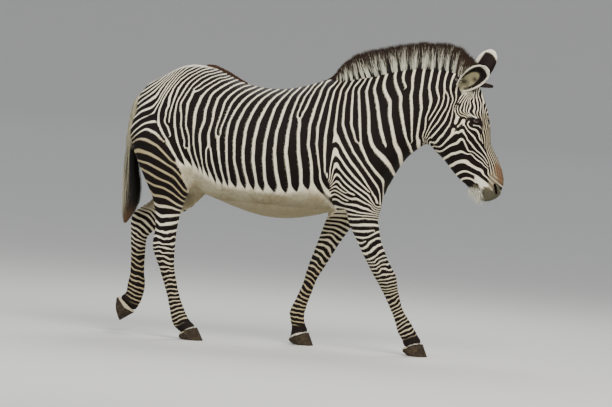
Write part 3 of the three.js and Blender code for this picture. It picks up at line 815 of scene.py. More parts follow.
FORE_REGION = (
    (57, 1166), (50, 1150), (42, 1110), (36, 1080), (32, 1050), (31, 960), (38, 900), (60, 850),
    (84, 800), (100, 750), (60, 705), (-100, 690), (-400, 500), (-300, -60), (900, -60),
    (640, 500), (420, 700), (346, 780), (320, 810), (276, 880), (222, 944), (190, 982),
    (154, 1022), (120, 1068), (90, 1114),
    (70, 1154),
)
HIND_REGION = (
    (-1160, 1080), (-1046, 1102), (-1038, 1118), (-1008, 1152), (-974, 1180), (-934, 1200),
    (-918, 1207), (-903, 1180), (-896, 1140), (-880, 1105), (-850, 1068), (-826, 1025),
    (-800, 985), (-770, 940), (-745, 900), (-705, 800), (-600, 600), (-500, 300), (-500, -60),
    (-1300, -60),
)
FACE_REGION = (
    (726, 1440), (712, 1385), (698, 1345), (706, 1312), (730, 1298), (760, 1290), (800, 1285),
    (842, 1270), (838, 1235), (842, 1205), (850, 1180), (866, 1150), (878, 1115), (889, 1085),
    (899, 1050), (906, 1000), (1100, 1000), (1100, 1600), (790, 1600),
)
BELLY_EDGE = (
    (-1000, 940), (-700, 935), (-650, 905), (-600, 880), (-560, 850), (-500, 840), (-400, 835),
    (-195, 825), (-140, 835), (-85, 850), (-35, 860), (10, 840), (120, 740), (330, 790),
    (440, 800), (520, 810),
)
# The upper edge of each hoof from rear to front, and the side of the body that it is on.
CORONETS = (
    (((508, 36), (539, 55), (570, 67), (618, 72)), -1),
    (((-109, 33), (-83, 54), (-53, 65), (-4, 73)), 1),
    (((-694, 30), (-674, 47), (-655, 60), (-632, 68), (-602, 74)), -1),
    (((-1048, 190), (-1027, 162), (-1007, 137), (-955, 110)), 1),
)
BROW_PALE = ((764, 1316), (780, 1316), (795, 1310), (812, 1303))
LID_PALE = ((798, 1263), (827, 1261), (836, 1253))
EYE_SKIN = (
    (752, 1298), (775, 1304), (800, 1306), (828, 1303), (842, 1290), (850, 1268), (844, 1249),
    (832, 1262), (812, 1266), (790, 1268), (772, 1284),
)
# Short dark marks behind the eye and spots on the chin, each with half its width in mm.
DARK_LINES = (
    (((735, 1301), (720, 1280), (709, 1261)), 4.5),
    (((736, 1263), (718, 1243), (702, 1225)), 4.5),
    (((838, 948), (850, 940)), 5.0),
    (((812, 940), (820, 930)), 4.0),
    (((810, 910), (816, 901)), 3.5),
    (((856, 925), (862, 902)), 2.5),
    (((872, 922), (878, 896)), 2.5),
    (((792, 962), (798, 960)), 3.0),
    (((770, 958), (775, 957)), 2.5),
)
PALE_LIPS = (
    (826, 995), (850, 985), (876, 968), (902, 950), (904, 936), (872, 936), (858, 926),
    (848, 950), (828, 962),
)
MUZZLE = (
    (850, 948), (862, 922), (880, 926), (905, 922), (924, 912), (934, 940), (940, 958),
    (958, 956), (968, 930), (980, 905), (985, 840), (800, 830), (806, 925), (830, 948),
)
BUFF = (
    (905, 1005), (904, 960), (880, 935), (905, 915), (930, 915), (945, 960), (985, 950),
    (990, 990), (945, 1010), (925, 1030),
)
GINGER = (
    (930, 1078), (950, 1062), (972, 1040), (990, 1010), (996, 950), (984, 940), (972, 950),
    (950, 965), (940, 1000), (926, 1030),
)


def ear_marks(p, n):
    """Dark and pale parts of both ears, and which places lie on an ear."""
    dark, pale = np.zeros(len(p)), np.zeros(len(p))
    on_ear = np.zeros(len(p), bool)
    rows = np.array(EAR_ROWS, float)
    for name in EARS:
        root, front, across, up = (np.array(v) for v in ear_basis(name))
        local = p - in_mm(root)
        f, a, h = local @ front, local @ across, local @ up
        back, half, roll = (np.interp(h, rows[:, 0], rows[:, k]) for k in (1, 2, 3))
        around = np.degrees(np.arctan2(np.abs(a) / half, (6.0 - f) / back)) / roll
        gap = np.hypot((6.0 - f) / (back + 6), a / (half + 6))
        here = (h > 14) & (h < 222) & (gap < 1.25) & (f < 34)
        inner = ((6.0 - f) * (n @ front) - a * (n @ across)) > 0
        rim = ease(around, 0.8, 0.88)
        band = ease(np.hypot(around, np.maximum(h - 70, 0) / 150), 0.44, 0.54) * (1 - rim)
        tip = ease(h + 0.009 * a * a, 186, 194)
        rear = -a if name == "ear_right" else a
        fringe = np.maximum(tip, ease(rear, 24, 34) * ease(h, 90, 120))
        ring = ease(h, 60, 80) * (1 - fringe)
        spots = np.exp(-((h - 104) ** 2 + (a - 16) ** 2) / 210)
        spots += np.exp(-((h - 52) ** 2 + (a + 8) ** 2) / 190)
        in_dark = np.clip(band * ease(h, 16, 36) + 0.9 * spots, 0, 1)
        dark[here] = np.where(inner, in_dark * (1 - tip), ring)[here]
        pale[here] = np.where(inner, np.maximum(rim, tip), 1 - ring)[here]
        on_ear |= here
    return dark, pale, on_ear


def note(mesh, name, values, domain="POINT"):
    """Keep a number for each point, or each corner, under a name that materials can read."""
    layer = mesh.attributes.new(name, "FLOAT", domain)
    layer.data.foreach_set("value", np.ascontiguousarray(values, dtype=np.float32))


def front_of_head(p, heights):
    """The foremost place of the head at each height."""
    rows = np.arange(850, 1500, 10.0)
    head = p[(p[:, 0] > 620) & (np.abs(p[:, 1]) < 60)]
    found = []
    for z in rows:
        near = np.abs(head[:, 2] - z) < 14
        found.append(head[near, 0].max() if near.any() else 800.0)
    found = np.convolve(np.pad(found, 2, mode="edge"), np.ones(5) / 5, mode="valid")
    return np.interp(heights, rows, found)


def under_line(p, line):
    """How far places lie along the chord of a line drawn from rear to front, and below the line."""
    line = np.array(line, float)
    run = (line[-1] - line[0]) / np.linalg.norm(line[-1] - line[0])

    def turned(x, z):
        x, z = x - line[0, 0], z - line[0, 1]
        return x * run[0] + z * run[1], x * run[1] - z * run[0]

    along, below = turned(p[:, 0], p[:, 2])
    return along, below - np.interp(along, *turned(line[:, 0], line[:, 1]))


def mark_skin(mesh):
    """Give the skin its numbers and masks, from the side view of each place."""
    p = in_mm(places_of(mesh))
    n = normals_of(mesh)
    flat = p[:, [0, 2]]
    right = p[:, 1] < 0
    far_low = (~right) & (p[:, 2] < 760)

    loops = read(mesh.loops, "vertex_index", kind=np.int32)
    starts, totals = (read(mesh.polygons, "loop_" + k, kind=np.int32) for k in ("start", "total"))
    first = np.repeat(starts, totals)

    def with_forks(field, forks, onward):
        turn = sum(one_twist(flat, fork, onward)[0] for fork in forks)[loops]
        turn += np.round(turn[first] - turn)
        return field[loops] + turn

    body = field_of(BODY_LINES, BODY_FORKS, (1, 0), flat)
    body += np.maximum(935 - p[:, 2], 0) / 40 * ease(p[:, 0], 300, 380) * (p[:, 0] < 620)
    note(mesh, "phase_body", with_forks(body, BODY_FORKS, (1, 0)), "CORNER")

    fore = np.zeros(len(p))
    mask = p[:, 0] > -350
    fore[mask] = field_of(FORE_LINES, FORE_FORKS, (0, -1), flat[mask])
    fore = with_forks(fore, FORE_FORKS, (0, -1))
    far = np.zeros(len(p))
    mask = far_low & (p[:, 0] > -350)
    far[mask] = field_of(FAR_FORE_LINES, (), (0, -1), flat[mask]) + 13.0
    share = (mask * (1 - ease(p[:, 2], 640, 740)))[loops]
    fore = far[loops] * share + fore * (1 - share)
    note(mesh, "phase_fore", fore, "CORNER")

    hind = np.zeros(len(p))
    mask = p[:, 0] < -350
    hind[mask] = field_of(HIND_LINES, (), (0, -1), flat[mask])
    mask = far_low & (p[:, 0] < -350)
    share = 1 - ease(p[mask, 2], 650, 750)
    far = field_of(FAR_HIND_LINES, (), (0, -1), flat[mask])
    zone = (share > 0.1) & (share < 0.9)
    far += np.round(np.median((hind[mask] - far)[zone]))
    hind[mask] = hind[mask] * (1 - share) + share * far
    note(mesh, "phase_hind", hind)

    # The face's lines run round the head, so their field lies over its unrolled width.
    spots, numbers = numbered(FACE_LINES, (), (1, 0))
    tree = BVHTree.FromPolygons([tuple(v) for v in p], [tuple(q.vertices) for q in mesh.polygons])
    across = []
    for x, z in spots:
        hit = tree.ray_cast(Vector((x, -400, z)), Vector((0, 1, 0)))
        if hit[0] is None:
            hit = (tree.find_nearest(Vector((x, -60, z)))[0],)
        across.append(abs(hit[0][1]))
    fronts = front_of_head(p, spots[:, 1])
    round_head = np.array(across) + fronts - spots[:, 0]
    nose = np.zeros(len(p))
    mask = (p[:, 0] > 640) & (p[:, 2] > 900)
    s = np.abs(p[mask, 1]) + front_of_head(p, p[mask, 2]) - p[mask, 0]
    nose[mask] = smooth_field(
        np.stack([round_head, spots[:, 1]], 1), numbers, np.stack([s, p[mask, 2]], 1), 3e-5
    )
    note(mesh, "phase_face", nose)

    on_fore = inside_of(p, FORE_REGION, 8.0)
    on_hind = inside_of(p, HIND_REGION, 8.0)
    on_face = inside_of(p, FACE_REGION, 4.0)
    note(mesh, "on_fore", on_fore)
    note(mesh, "on_hind", on_hind * (1 - on_fore))
    note(mesh, "on_face", on_face)

    # Plain, unstriped places: the belly, the insides of the upper legs and the rear of the thighs.
    edge = np.array(BELLY_EDGE, float)
    belly = 1.0 - ease(p[:, 2] - np.interp(p[:, 0], edge[:, 0], edge[:, 1]), -32, 48)
    trunk_part = (1 - on_fore) * (1 - on_hind)
    inward = np.where(right, n[:, 1], -n[:, 1])
    inner = ease(inward, 0.1, 0.6)
    elbow = ease(p[:, 2], 690, 800) * (1 - ease(p[:, 2], 850, 930)) * (1 - ease(p[:, 0], 250, 350))
    groin = on_hind * ease(p[:, 2], 650, 730)
    upper = np.maximum(on_fore * elbow, groin)
    keep = (p[:, 2] < 1100) * (1 - ease(p[:, 0], 330, 430))
    plain = np.maximum(belly * trunk_part * keep, inner * upper)
    note(mesh, "plain", np.clip(plain, 0, 1))
    # Tan hair on the thighs, lower legs and face; on the inner sides of the legs below 0.78 m the
    # tan is painted shade.
    thigh = on_hind * ease(p[:, 2], 640, 780) * (1 - ease(p[:, 2], 1040, 1130))
    tan = np.maximum(thigh, 0.75 * (1 - ease(p[:, 2], 260, 620)))
    note(mesh, "tan", tan + 0.55 * on_face * (p[:, 2] < 1330) + 0.45 * inner * (p[:, 2] < 780))

    # Plain dark and pale parts of the feet, spine, eyes and lips, and painted shade in the
    # nostrils.
    foot = np.full(len(p), 1e9)
    cream = np.zeros(len(p))
    for line, side in CORONETS:
        gap = near_line(p, line) + 1000.0 * (np.sign(p[:, 1]) != side)
        foot = np.minimum(foot, gap)
        cream = np.maximum(cream, (gap < 40) * ease(under_line(p, line)[1], -3.5, -1.5))
    dark = 1 - ease(foot, 34, 62)
    on_top = ease(n[:, 2], 0.3, 0.7)
    middle = np.abs(p[:, 1])
    spine = ease(p[:, 0], -985, -960) * (1 - ease(p[:, 0], 30, 60)) * on_top
    croup = ease(p[:, 0], -940, -900) * (1 - ease(p[:, 0], -640, -560)) * on_top
    dark = np.maximum(dark, spine * (1 - ease(middle, 7, 11)))
    half = np.interp(p[:, 0], [-940, -860, -760, -660, -540], [18, 38, 50, 44, 10])
    croup *= ease(middle, 8, 12) * (1 - ease(middle, half - 22, half + 26))
    cream = np.maximum(cream, croup)
    brow = 1 - ease(near_line(p, BROW_PALE), 1.5, 4)
    rims = np.maximum(brow, 0.9 - 0.9 * ease(near_line(p, LID_PALE), 1.5, 3.5))
    cream = np.maximum(cream, rims * (middle > 40) * (p[:, 0] > 600))
    cream = np.maximum(cream, inside_of(p, PALE_LIPS, 5.0))
    eye_skin = inside_of(p, EYE_SKIN, 2.0)
    for line, wide in DARK_LINES:
        eye_skin = np.maximum(eye_skin, 1 - ease(near_line(p, line), wide - 1.5, wide + 1.5))
    dark = np.maximum(dark, eye_skin * (p[:, 0] > 640) * (middle > 25))
    # Painted shade: the nostril openings are darkened over their carved hollows.
    nostril_shade = (1 - ease(near_line(p, NOSTRIL), 5.5, 9.0)) * (p[:, 0] > 900)
    dark = np.maximum(dark, nostril_shade)
    ear_dark, ear_pale, on_ear = ear_marks(p, n)
    dark = np.where(on_ear, ear_dark, dark)
    cream = np.where(on_ear, ear_pale, cream)
    note(mesh, "dark", dark)
    note(mesh, "cream", cream)
    note(mesh, "muzzle", inside_of(p, MUZZLE, 7.0))
    # Buff is the pale brown patch on the nose, and painted shade on the inner sides of the thighs.
    note(mesh, "buff", np.maximum(0.65 * inside_of(p, BUFF, 9.0), 0.7 * inner * groin))
    note(mesh, "ginger", inside_of(p, GINGER, 15.0))
    note(mesh, "ear", on_ear.astype(float))
    rear = ease(-p[:, 0], 690, 900) * ease(p[:, 2], 1180, 1300)
    shoulder = on_fore * 0.5
    legs = (0.5 + 0.5 * inner * ease(p[:, 2], 420, 560)) * (1 - ease(p[:, 2], 700, 780))
    more_white = np.maximum.reduce([0.6 * on_face, rear, shoulder, legs])
    note(mesh, "more_white", np.clip(more_white, 0, 1))


soften(skin_mesh)
mark_skin(skin_mesh)


# ---- Skin: material ----
# Stripes come from the numbers and masks on the mesh; fine noise frays their edges. The shortest
# hair is a fine bump.
def linear(*screen):
    """A colour given in 0 to 255 on screen, as light."""
    light = [((c / 255 + 0.055) / 1.055) ** 2.4 if c > 10 else c / 3300 for c in screen]
    return (*light, 1.0)


def new_group(name, inputs, outputs):
    group = bpy.data.node_groups.new(name, "ShaderNodeTree")
    for title, kind, value in inputs:
        socket = group.interface.new_socket(title, in_out="INPUT", socket_type=kind)
        if value is not None:
            socket.default_value = value
    for title, kind in outputs:
        group.interface.new_socket(title, in_out="OUTPUT", socket_type=kind)
    return group, group.nodes.new("NodeGroupInput"), group.nodes.new("NodeGroupOutput")


class Net:
    """Short ways to add nodes to a tree."""

    def __init__(self, tree):
        self.tree = tree

    def put(self, kind, **settings):
        node = self.tree.nodes.new(kind)
        for key, value in settings.items():
            setattr(node, key, value)
        return node

    def join(self, source, target):
        if isinstance(source, (int, float, tuple)):
            target.default_value = source
        else:
            self.tree.links.new(source, target)

    def math(self, operation, a, b=0.0, c=None):
        node = self.put("ShaderNodeMath", operation=operation)
        self.join(a, node.inputs[0])
        self.join(b, node.inputs[1])
        if c is not None:
            self.join(c, node.inputs[2])
        return node.outputs[0]

    def mix(self, factor, a, b):
        node = self.put("ShaderNodeMix", data_type="RGBA")
        self.join(factor, node.inputs[0])
        self.join(a, node.inputs[6])
        self.join(b, node.inputs[7])
        return node.outputs[2]

    def step(self, value, low, high):
        node = self.put("ShaderNodeMapRange", interpolation_type="SMOOTHSTEP")
        self.join(value, node.inputs["Value"])
        self.join(low, node.inputs["From Min"])
        self.join(high, node.inputs["From Max"])
        return node.outputs[0]

    def value(self, name):
        return self.put("ShaderNodeAttribute", attribute_name=name).outputs["Fac"]

    def noise(self, where, scale, detail=2.0, rough=0.5):
        node = self.put("ShaderNodeTexNoise")
        self.join(where, node.inputs["Vector"])
        node.inputs["Scale"].default_value = scale
        node.inputs["Detail"].default_value = detail
        node.inputs["Roughness"].default_value = rough
        return node.outputs["Fac"]


    def scaled(self, colour, strength):
        """A colour made lighter or darker."""
        node = self.put("ShaderNodeVectorMath", operation="SCALE")
        self.join(colour, node.inputs[0])
        self.join(strength, node.inputs["Scale"])
        return node.outputs[0]

    def bump(self, height, strength, distance):
        node = self.put("ShaderNodeBump")
        node.inputs["Strength"].default_value = strength
        node.inputs["Distance"].default_value = distance
        self.join(height, node.inputs["Height"])
        return node.outputs[0]


def new_material(name):
    """A plain material, with a way to add to its nodes and the shader that they lead to."""
    material = bpy.data.materials.new(name)
    material.use_nodes = True
    return material, Net(material.node_tree), material.node_tree.nodes["Principled BSDF"]


def stripe_group():
    """How white the hide is, from the four numbered fields and their masks."""
    group, given, out = new_group(
        "stripes",
        [("White share", "NodeSocketFloat", 0.25), ("Fray", "NodeSocketFloat", 0.25)],
        [("White", "NodeSocketFloat")],
    )
    net = Net(group)

    def wave(name, shift=0.0):
        turns = net.math("ADD", net.value(name), shift)
        return net.math("COSINE", net.math("MULTIPLY", turns, 2 * math.pi))

    here = net.put("ShaderNodeTexCoord").outputs["Object"]
    height = net.put("ShaderNodeSeparateXYZ")
    net.join(here, height.inputs[0])
    warp = net.math("MULTIPLY_ADD", net.noise(here, 26.0, 1.0), 0.8, -0.4)
    warp = net.math("MULTIPLY", warp, net.step(height.outputs["Z"], 0.72, 0.5))
    total = wave("phase_body")
    for part, shift in (("fore", warp), ("hind", warp), ("face", 0.0)):
        mask = net.value("on_" + part)
        rest = net.math("MULTIPLY", total, net.math("SUBTRACT", 1.0, mask))
        total = net.math("MULTIPLY_ADD", wave("phase_" + part, shift), mask, rest)
    fray = net.math("SUBTRACT", net.noise(here, 260.0, 3.0, 0.6), 0.5)
    total = net.math("ADD", total, net.math("MULTIPLY", fray, given.outputs["Fray"]))
    share = net.math("MULTIPLY_ADD", net.value("more_white"), 0.14, given.outputs["White share"])
    share = net.math("MINIMUM", net.math("MULTIPLY_ADD", net.value("plain"), 1.1, share), 1.1)
    level = net.math("COSINE", net.math("MULTIPLY", net.math("MINIMUM", share, 1.0), math.pi))
    level = net.math("MULTIPLY_ADD", net.step(share, 0.95, 1.1), -0.4, level)
    white = net.step(total, net.math("SUBTRACT", level, 0.16), net.math("ADD", level, 0.16))
    net.join(white, out.inputs["White"])
    return group


STRIPES = stripe_group()
WHITE = linear(238, 228, 202)
BLACK = linear(19, 12, 10)
TAN = linear(168, 152, 116)
BELLY = linear(190, 181, 153)


def hide_material(name, grained):
    """The hide in all its colours, with painted shade lower on the belly, on the inner sides of the
    legs and in the nostrils, with or without the fine bump of its shortest hair.
    """
    material, net, shader = new_material(name)
    pattern = net.put("ShaderNodeGroup", node_tree=STRIPES)
    here = net.put("ShaderNodeTexCoord").outputs["Object"]
    # Tan is the hair's own colour on the thighs, lower legs and face, and painted shade on the
    # inner sides of the legs.
    pale = net.mix(net.value("tan"), WHITE, TAN)
    worn = net.step(net.noise(here, 9.0, 3.0), 0.35, 0.75)
    pale = net.mix(net.math("MULTIPLY", worn, 0.25), pale, linear(205, 192, 160))
    colour = net.mix(pattern.outputs["White"], BLACK, pale)
    blotch = net.math("MULTIPLY_ADD", net.noise(here, 38.0, 3.0, 0.6), 0.7, -0.35)
    bare = net.step(net.math("ADD", net.value("plain"), blotch), 0.45, 0.95)
    under = net.mix(net.step(net.noise(here, 12.0, 3.0), 0.42, 0.72), BELLY, linear(164, 151, 118))
    height = net.put("ShaderNodeSeparateXYZ")
    net.join(here, height.inputs[0])
    # Painted shade: the underside colour darkens lower down the belly, below 0.86 m up, where shade
    # falls.
    low = net.step(height.outputs["Z"], 0.86, 0.72)
    under = net.mix(net.math("MULTIPLY", low, 0.85), under, linear(134, 123, 94))
    clumps = net.step(net.noise(here, 75.0, 4.0, 0.7), 0.45, 0.68)
    under = net.mix(net.math("MULTIPLY", clumps, 0.4), under, linear(112, 101, 76))
    colour = net.mix(bare, colour, under)
    # Buff patch on the nose, and painted shade on the inner sides of the thighs.
    colour = net.mix(net.value("buff"), colour, linear(134, 122, 98))
    colour = net.mix(net.value("muzzle"), colour, linear(84, 80, 64))
    patchy = net.math("MULTIPLY_ADD", net.noise(here, 160.0, 3.0, 0.6), 1.2, -0.6)
    warm = net.step(net.math("ADD", net.value("ginger"), patchy), 0.3, 0.9)
    colour = net.mix(net.math("MULTIPLY", warm, 0.85), colour, linear(104, 76, 53))
    colour = net.mix(net.value("ear"), colour, linear(150, 142, 112))
    # Dark skin and marks, and painted shade in the nostrils.
    colour = net.mix(net.value("dark"), colour, linear(24, 16, 13))
    colour = net.mix(net.value("cream"), colour, linear(226, 220, 200))
    net.join(colour, shader.inputs["Base Color"])
    shader.inputs["Roughness"].default_value = 0.68
    shader.inputs["Specular IOR Level"].default_value = 0.12
    if grained:
        grain = net.noise(here, 900.0, 2.0, 0.6)
        net.join(net.bump(grain, 0.25, 0.001), shader.inputs["Normal"])
    return material


HIDE = hide_material("hide", True)
skin_mesh.materials.clear()
skin_mesh.materials.append(HIDE)
skin_mesh.polygons.foreach_set("material_index", np.zeros(len(skin_mesh.polygons), dtype=np.int32))

skin = loose(skin_mesh, "skin")
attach(skin, "root")
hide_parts(*FLESH, *EARS)

# ---- Skin: unwrapped for its own colours ----
bpy.context.view_layer.objects.active = skin
skin.select_set(True)
skin_mesh.uv_layers.new(name="OFBake")
bpy.ops.object.mode_set(mode="EDIT")
bpy.ops.mesh.select_all(action="SELECT")
bpy.ops.uv.smart_project(angle_limit=math.radians(66), island_margin=0.001)
bpy.ops.object.mode_set(mode="OBJECT")
skin.select_set(False)

# ---- Coat: short tufts that lie along the body ----
# Roots are strewn over the skin at random. Each tuft is a thin blade in the lie of the hair at
# its root, and takes the markings there.
MARKS = (
    "phase_body", "phase_fore", "phase_hind", "phase_face", "on_fore", "on_hind", "on_face",
    "plain", "tan", "dark", "cream", "muzzle", "buff", "ginger", "ear", "more_white",
)
skin_mesh.calc_loop_triangles()
tri_corners = read(skin_mesh.loop_triangles, "loops", 3, np.int32)
corner_points = read(skin_mesh.loops, "vertex_index", kind=np.int32)
tri_points = corner_points[tri_corners]
skin_places = places_of(skin_mesh)
skin_normals = normals_of(skin_mesh)
corner_uv = read(skin_mesh.uv_layers["OFBake"].data, "uv", 2)
a, b, c = (skin_places[tri_points[:, k]] for k in range(3))
tri_area = 0.5 * np.linalg.norm(np.cross(b - a, c - a), axis=1)
tri_middle = in_mm((a + b + c) / 3)


def mark_values(name):
    layer = skin_mesh.attributes[name]
    values = read(layer.data, "value", kind=np.float32)
    return values if layer.domain == "CORNER" else values[corner_points]


MARK_VALUES = {name: mark_values(name) for name in MARKS}


def unit(v):
    return v / np.maximum(np.linalg.norm(v, axis=-1, keepdims=True), 1e-9)


def strewn(rng, density, count):
    """Roots at random over the skin: places, normals, markings and places in the unwrap."""
    chance = tri_area * density
    picked = rng.choice(len(chance), size=count, p=chance / chance.sum())
    u, v = rng.random(count), rng.random(count)
    flip = u + v > 1
    u[flip], v[flip] = 1 - u[flip], 1 - v[flip]
    share = np.stack([1 - u - v, u, v], 1)
    return rooted(picked, share)


def rooted(picked, share):
    """Place, normal, markings and unwrap at a share of the corners of each picked triangle."""
    places = (skin_places[tri_points[picked]] * share[:, :, None]).sum(1)
    normals = unit((skin_normals[tri_points[picked]] * share[:, :, None]).sum(1))
    marks = {k: (values[tri_corners[picked]] * share).sum(1) for k, values in MARK_VALUES.items()}
    uv = (corner_uv[tri_corners[picked]] * share[:, :, None]).sum(1)
    return places, normals, marks, uv


FLAT = ((-1, 0.0), (1, 0.0))
RIDGED = ((-1, 0.0), (0, 0.55), (1, 0.0))
BLADE_PATCH = 0.003  # the width of a blade's own patch in the unwrap, where the whole is 1 wide


def bent(roots, ways, lengths, steps, curl=None):
    """The middle line of each blade; curl bends it more and more towards its tip."""
    t = np.linspace(0, 1, steps + 1)[None, :, None]
    lines = roots[:, None] + (ways * lengths[:, None])[:, None] * t
    return lines if curl is None else lines + curl[:, None] * t**2


def blades(name, lines, normals, widths, marks, uv, section=FLAT, fullness=0.6):
    """One mesh of many blades along middle lines, each tapering to a point."""
    count, steps, across = len(lines), lines.shape[1] - 1, len(section)
    closed = across > 2
    ways = unit(np.gradient(lines, axis=1))[:, :-1]
    side = unit(np.cross(ways, normals[:, None]))
    up = unit(np.cross(side, ways))
    t = np.linspace(0, 1, steps + 1)[:-1]
    taper = (1 - t) ** fullness
    points = np.empty((count, steps * across + 1, 3))
    for k, (out, rise) in enumerate(section):
        offset = (side * out + up * rise) * (widths[:, None] * taper[None])[:, :, None] * 0.5
        points[:, k : steps * across : across] = lines[:, :-1] + offset
    points[:, -1] = lines[:, -1]
    lengths = np.linalg.norm(np.diff(lines, axis=1), axis=2).sum(1)
    quads, tris = [], []
    rounds = across if closed else across - 1
    for j in range(steps - 1):
        for k in range(rounds):
            i, n = j * across + k, j * across + (k + 1) % across
            quads.append((i, n, n + across, i + across))
    last = (steps - 1) * across
    for k in range(rounds):
        tris.append((last + k, last + (k + 1) % across, steps * across))
    per = points.shape[1]
    quads, tris = np.array(quads, dtype=np.int32).reshape(-1, 4), np.array(tris, dtype=np.int32)
    base = (np.arange(count, dtype=np.int32) * per)[:, None]
    loops = np.concatenate([quads.ravel()[None] + base, tris.ravel()[None] + base], axis=1).ravel()
    sizes = np.tile(np.concatenate([np.full(len(quads), 4), np.full(len(tris), 3)]), count)
    mesh = bpy.data.meshes.new(name)
    mesh.vertices.add(count * per)
    mesh.vertices.foreach_set("co", points.ravel())
    mesh.loops.add(len(loops))
    mesh.loops.foreach_set("vertex_index", loops.astype(np.int32))
    mesh.polygons.add(len(sizes))
    mesh.polygons.foreach_set("loop_start", (np.cumsum(sizes) - sizes).astype(np.int32))
    mesh.polygons.foreach_set("loop_total", sizes.astype(np.int32))
    mesh.update(calc_edges=True)
    soften(mesh)
    along = np.append(np.repeat(t, across), 1.0)
    spread = np.append(np.tile([s[0] for s in section], steps), 0.0)
    for mark, values in marks.items():
        note(mesh, mark, np.repeat(values, per))
    note(mesh, "along", np.tile(along, count))
    note(mesh, "length", np.repeat(lengths / MM, per))
    note(mesh, "shade", np.repeat(np.random.default_rng(len(name)).random(count), per))
    patch = np.stack([0.5 * spread, along - 0.5], 1) * BLADE_PATCH
    spots = (uv[:, None] + patch[None]).reshape(-1, 2)
    layer = mesh.uv_layers.new(name="OFBake")
    layer.data.foreach_set("uv", np.clip(spots[loops], 0.0, 1.0).ravel())
    return mesh


# The way the hair lies at some places of the side view.
LIE_POINTS = (
    ((870, 1000), (0.45, -0.9)),
    ((860, 1200), (0.25, -1.0)),
    ((800, 1380), (0.2, -1.0)),
    ((700, 1200), (-0.1, -1.0)),
    ((760, 1050), (0.5, -0.85)),
    ((560, 1350), (-0.45, -0.9)),
    ((300, 1350), (-0.7, -0.7)),
    ((400, 1120), (-0.5, -0.85)),
    ((150, 1250), (-0.6, -0.8)),
    ((120, 1000), (-0.25, -1.0)),
    ((220, 850), (0.1, -1.0)),
    ((330, 560), (0.35, -0.95)),
    ((460, 200), (0.35, -0.95)),
    ((20, 560), (-0.35, -0.95)),
    ((-60, 200), (-0.15, -1.0)),
    ((-150, 1150), (-0.9, -0.45)),
    ((-450, 1150), (-0.95, -0.3)),
    ((-300, 860), (-1.0, 0.1)),
    ((-600, 1350), (-0.9, -0.4)),
    ((-850, 1300), (-0.75, -0.75)),
    ((-900, 1050), (-0.2, -1.0)),
    ((-650, 950), (-0.3, -0.9)),
    ((-800, 600), (0.05, -1.0)),
    ((-730, 200), (0.3, -0.95)),
    ((-960, 400), (0.0, -1.0)),
)


def lie(places, normals):
    """The way the hair grows at each place, held flat against the skin."""
    p = in_mm(places)
    total = np.zeros((len(p), 3))
    for (x, z), (wx, wz) in LIE_POINTS:
        near = 1.0 / ((p[:, 0] - x) ** 2 + (p[:, 2] - z) ** 2 + 60.0**2) ** 2
        total += near[:, None] * np.array([wx, 0.0, wz])
    for name in EARS:
        root, front, across, up = (np.array(v) for v in ear_basis(name))
        local = places - root
        on = (local @ up > 0.012) & (np.linalg.norm(local, axis=1) < 0.23) & (p[:, 2] > 1440)
        total[on] = up
    total = unit(total)
    total -= normals * (total * normals).sum(1, keepdims=True)
    return unit(total)


def coat_material(name):
    """The hide's colours, a little lighter or darker tuft by tuft."""
    material = hide_material(name, False)
    net = Net(material.node_tree)
    shader = material.node_tree.nodes["Principled BSDF"]
    colour = shader.inputs["Base Color"].links[0].from_socket
    strength = net.math("MULTIPLY_ADD", net.value("shade"), 0.3, 0.85)
    outer = net.math("MULTIPLY_ADD", net.value("along"), 0.12, 0.94)
    strength = net.math("MULTIPLY", strength, outer)
    net.join(net.scaled(colour, strength), shader.inputs["Base Color"])
    return material


COAT = coat_material("coat")


def region(name):
    """How densely a piece of the coat grows on each triangle of the skin."""
    x, y, z = tri_middle.T
    # Head from neck, then limbs from trunk.
    head = (x > 590) & (z < 1000 + 2.2 * (x - 560))
    head |= ((x > 700) & (z > 1300)) | ((x > 660) & (z > 1440))
    fore = (z < 760) & (x > -350) & ~head
    hind = (z < 860) & (x < -350)
    neck = (x > 60) & ~head & ~fore & (z > 1180 - 0.4 * x)
    parts = {
        "head": head,
        "forelegs": fore,
        "hind_legs": hind & ~fore,
        "neck": neck,
        "trunk": ~(head | fore | hind | neck) & (x > -420),
        "hindquarters": ~(head | fore | hind | neck) & (x <= -420),
    }
    return parts[name].astype(float)


COAT_PARTS = (
    # name, tufts, length, width and lift in mm
    ("trunk", 64000, 8.5, 2.0, 0.17),
    ("hindquarters", 64000, 8.0, 1.9, 0.17),
    ("neck", 64000, 8.5, 2.0, 0.17),
    ("head", 60000, 5.5, 1.3, 0.16),
    ("forelegs", 52000, 6.5, 1.6, 0.16),
    ("hind_legs", 56000, 6.5, 1.6, 0.16),
)
for seed, (part, count, length, width, lift) in enumerate(COAT_PARTS):
    rng = np.random.default_rng(20 + seed)
    places, normals, marks, uv = strewn(rng, region(part), count)
    p = in_mm(places)
    ways = lie(places, normals)
    ways = unit(ways + np.cross(normals, ways) * rng.normal(0, 0.16, count)[:, None])
    rise = lift * rng.uniform(0.6, 1.5, count)
    ways = unit(ways + normals * rise[:, None])
    scale = rng.uniform(0.7, 1.3, count)
    if part == "head":
        cheek = ease(1250 - np.abs(p[:, 2] - 1250), 900, 1150) * ease(900 - p[:, 0], 0, 120)
        scale *= 0.55 + 0.45 * cheek
    if part in ("forelegs", "hind_legs"):
        scale *= 0.6 + 0.4 * ease(p[:, 2], 120, 520)
    belly = ease(marks["plain"], 0.4, 1.0) * (p[:, 2] > 760)
    narrow = np.maximum(marks["on_fore"] * (p[:, 2] > 760), ease(-p[:, 0], 760, 860))
    scale *= (1 + 1.3 * belly) * (1 - 0.25 * narrow * (1 - belly))
    lengths, widths = length * scale * MM, width * (0.7 + 0.3 * scale) * MM
    lines = bent(places - normals * 0.0008, ways, lengths, 2)
    mesh = blades("coat_" + part, lines, normals, widths, marks, uv)
    mesh.materials.append(COAT)
    piece = loose(mesh, "coat_" + part)
    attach(piece, "root")

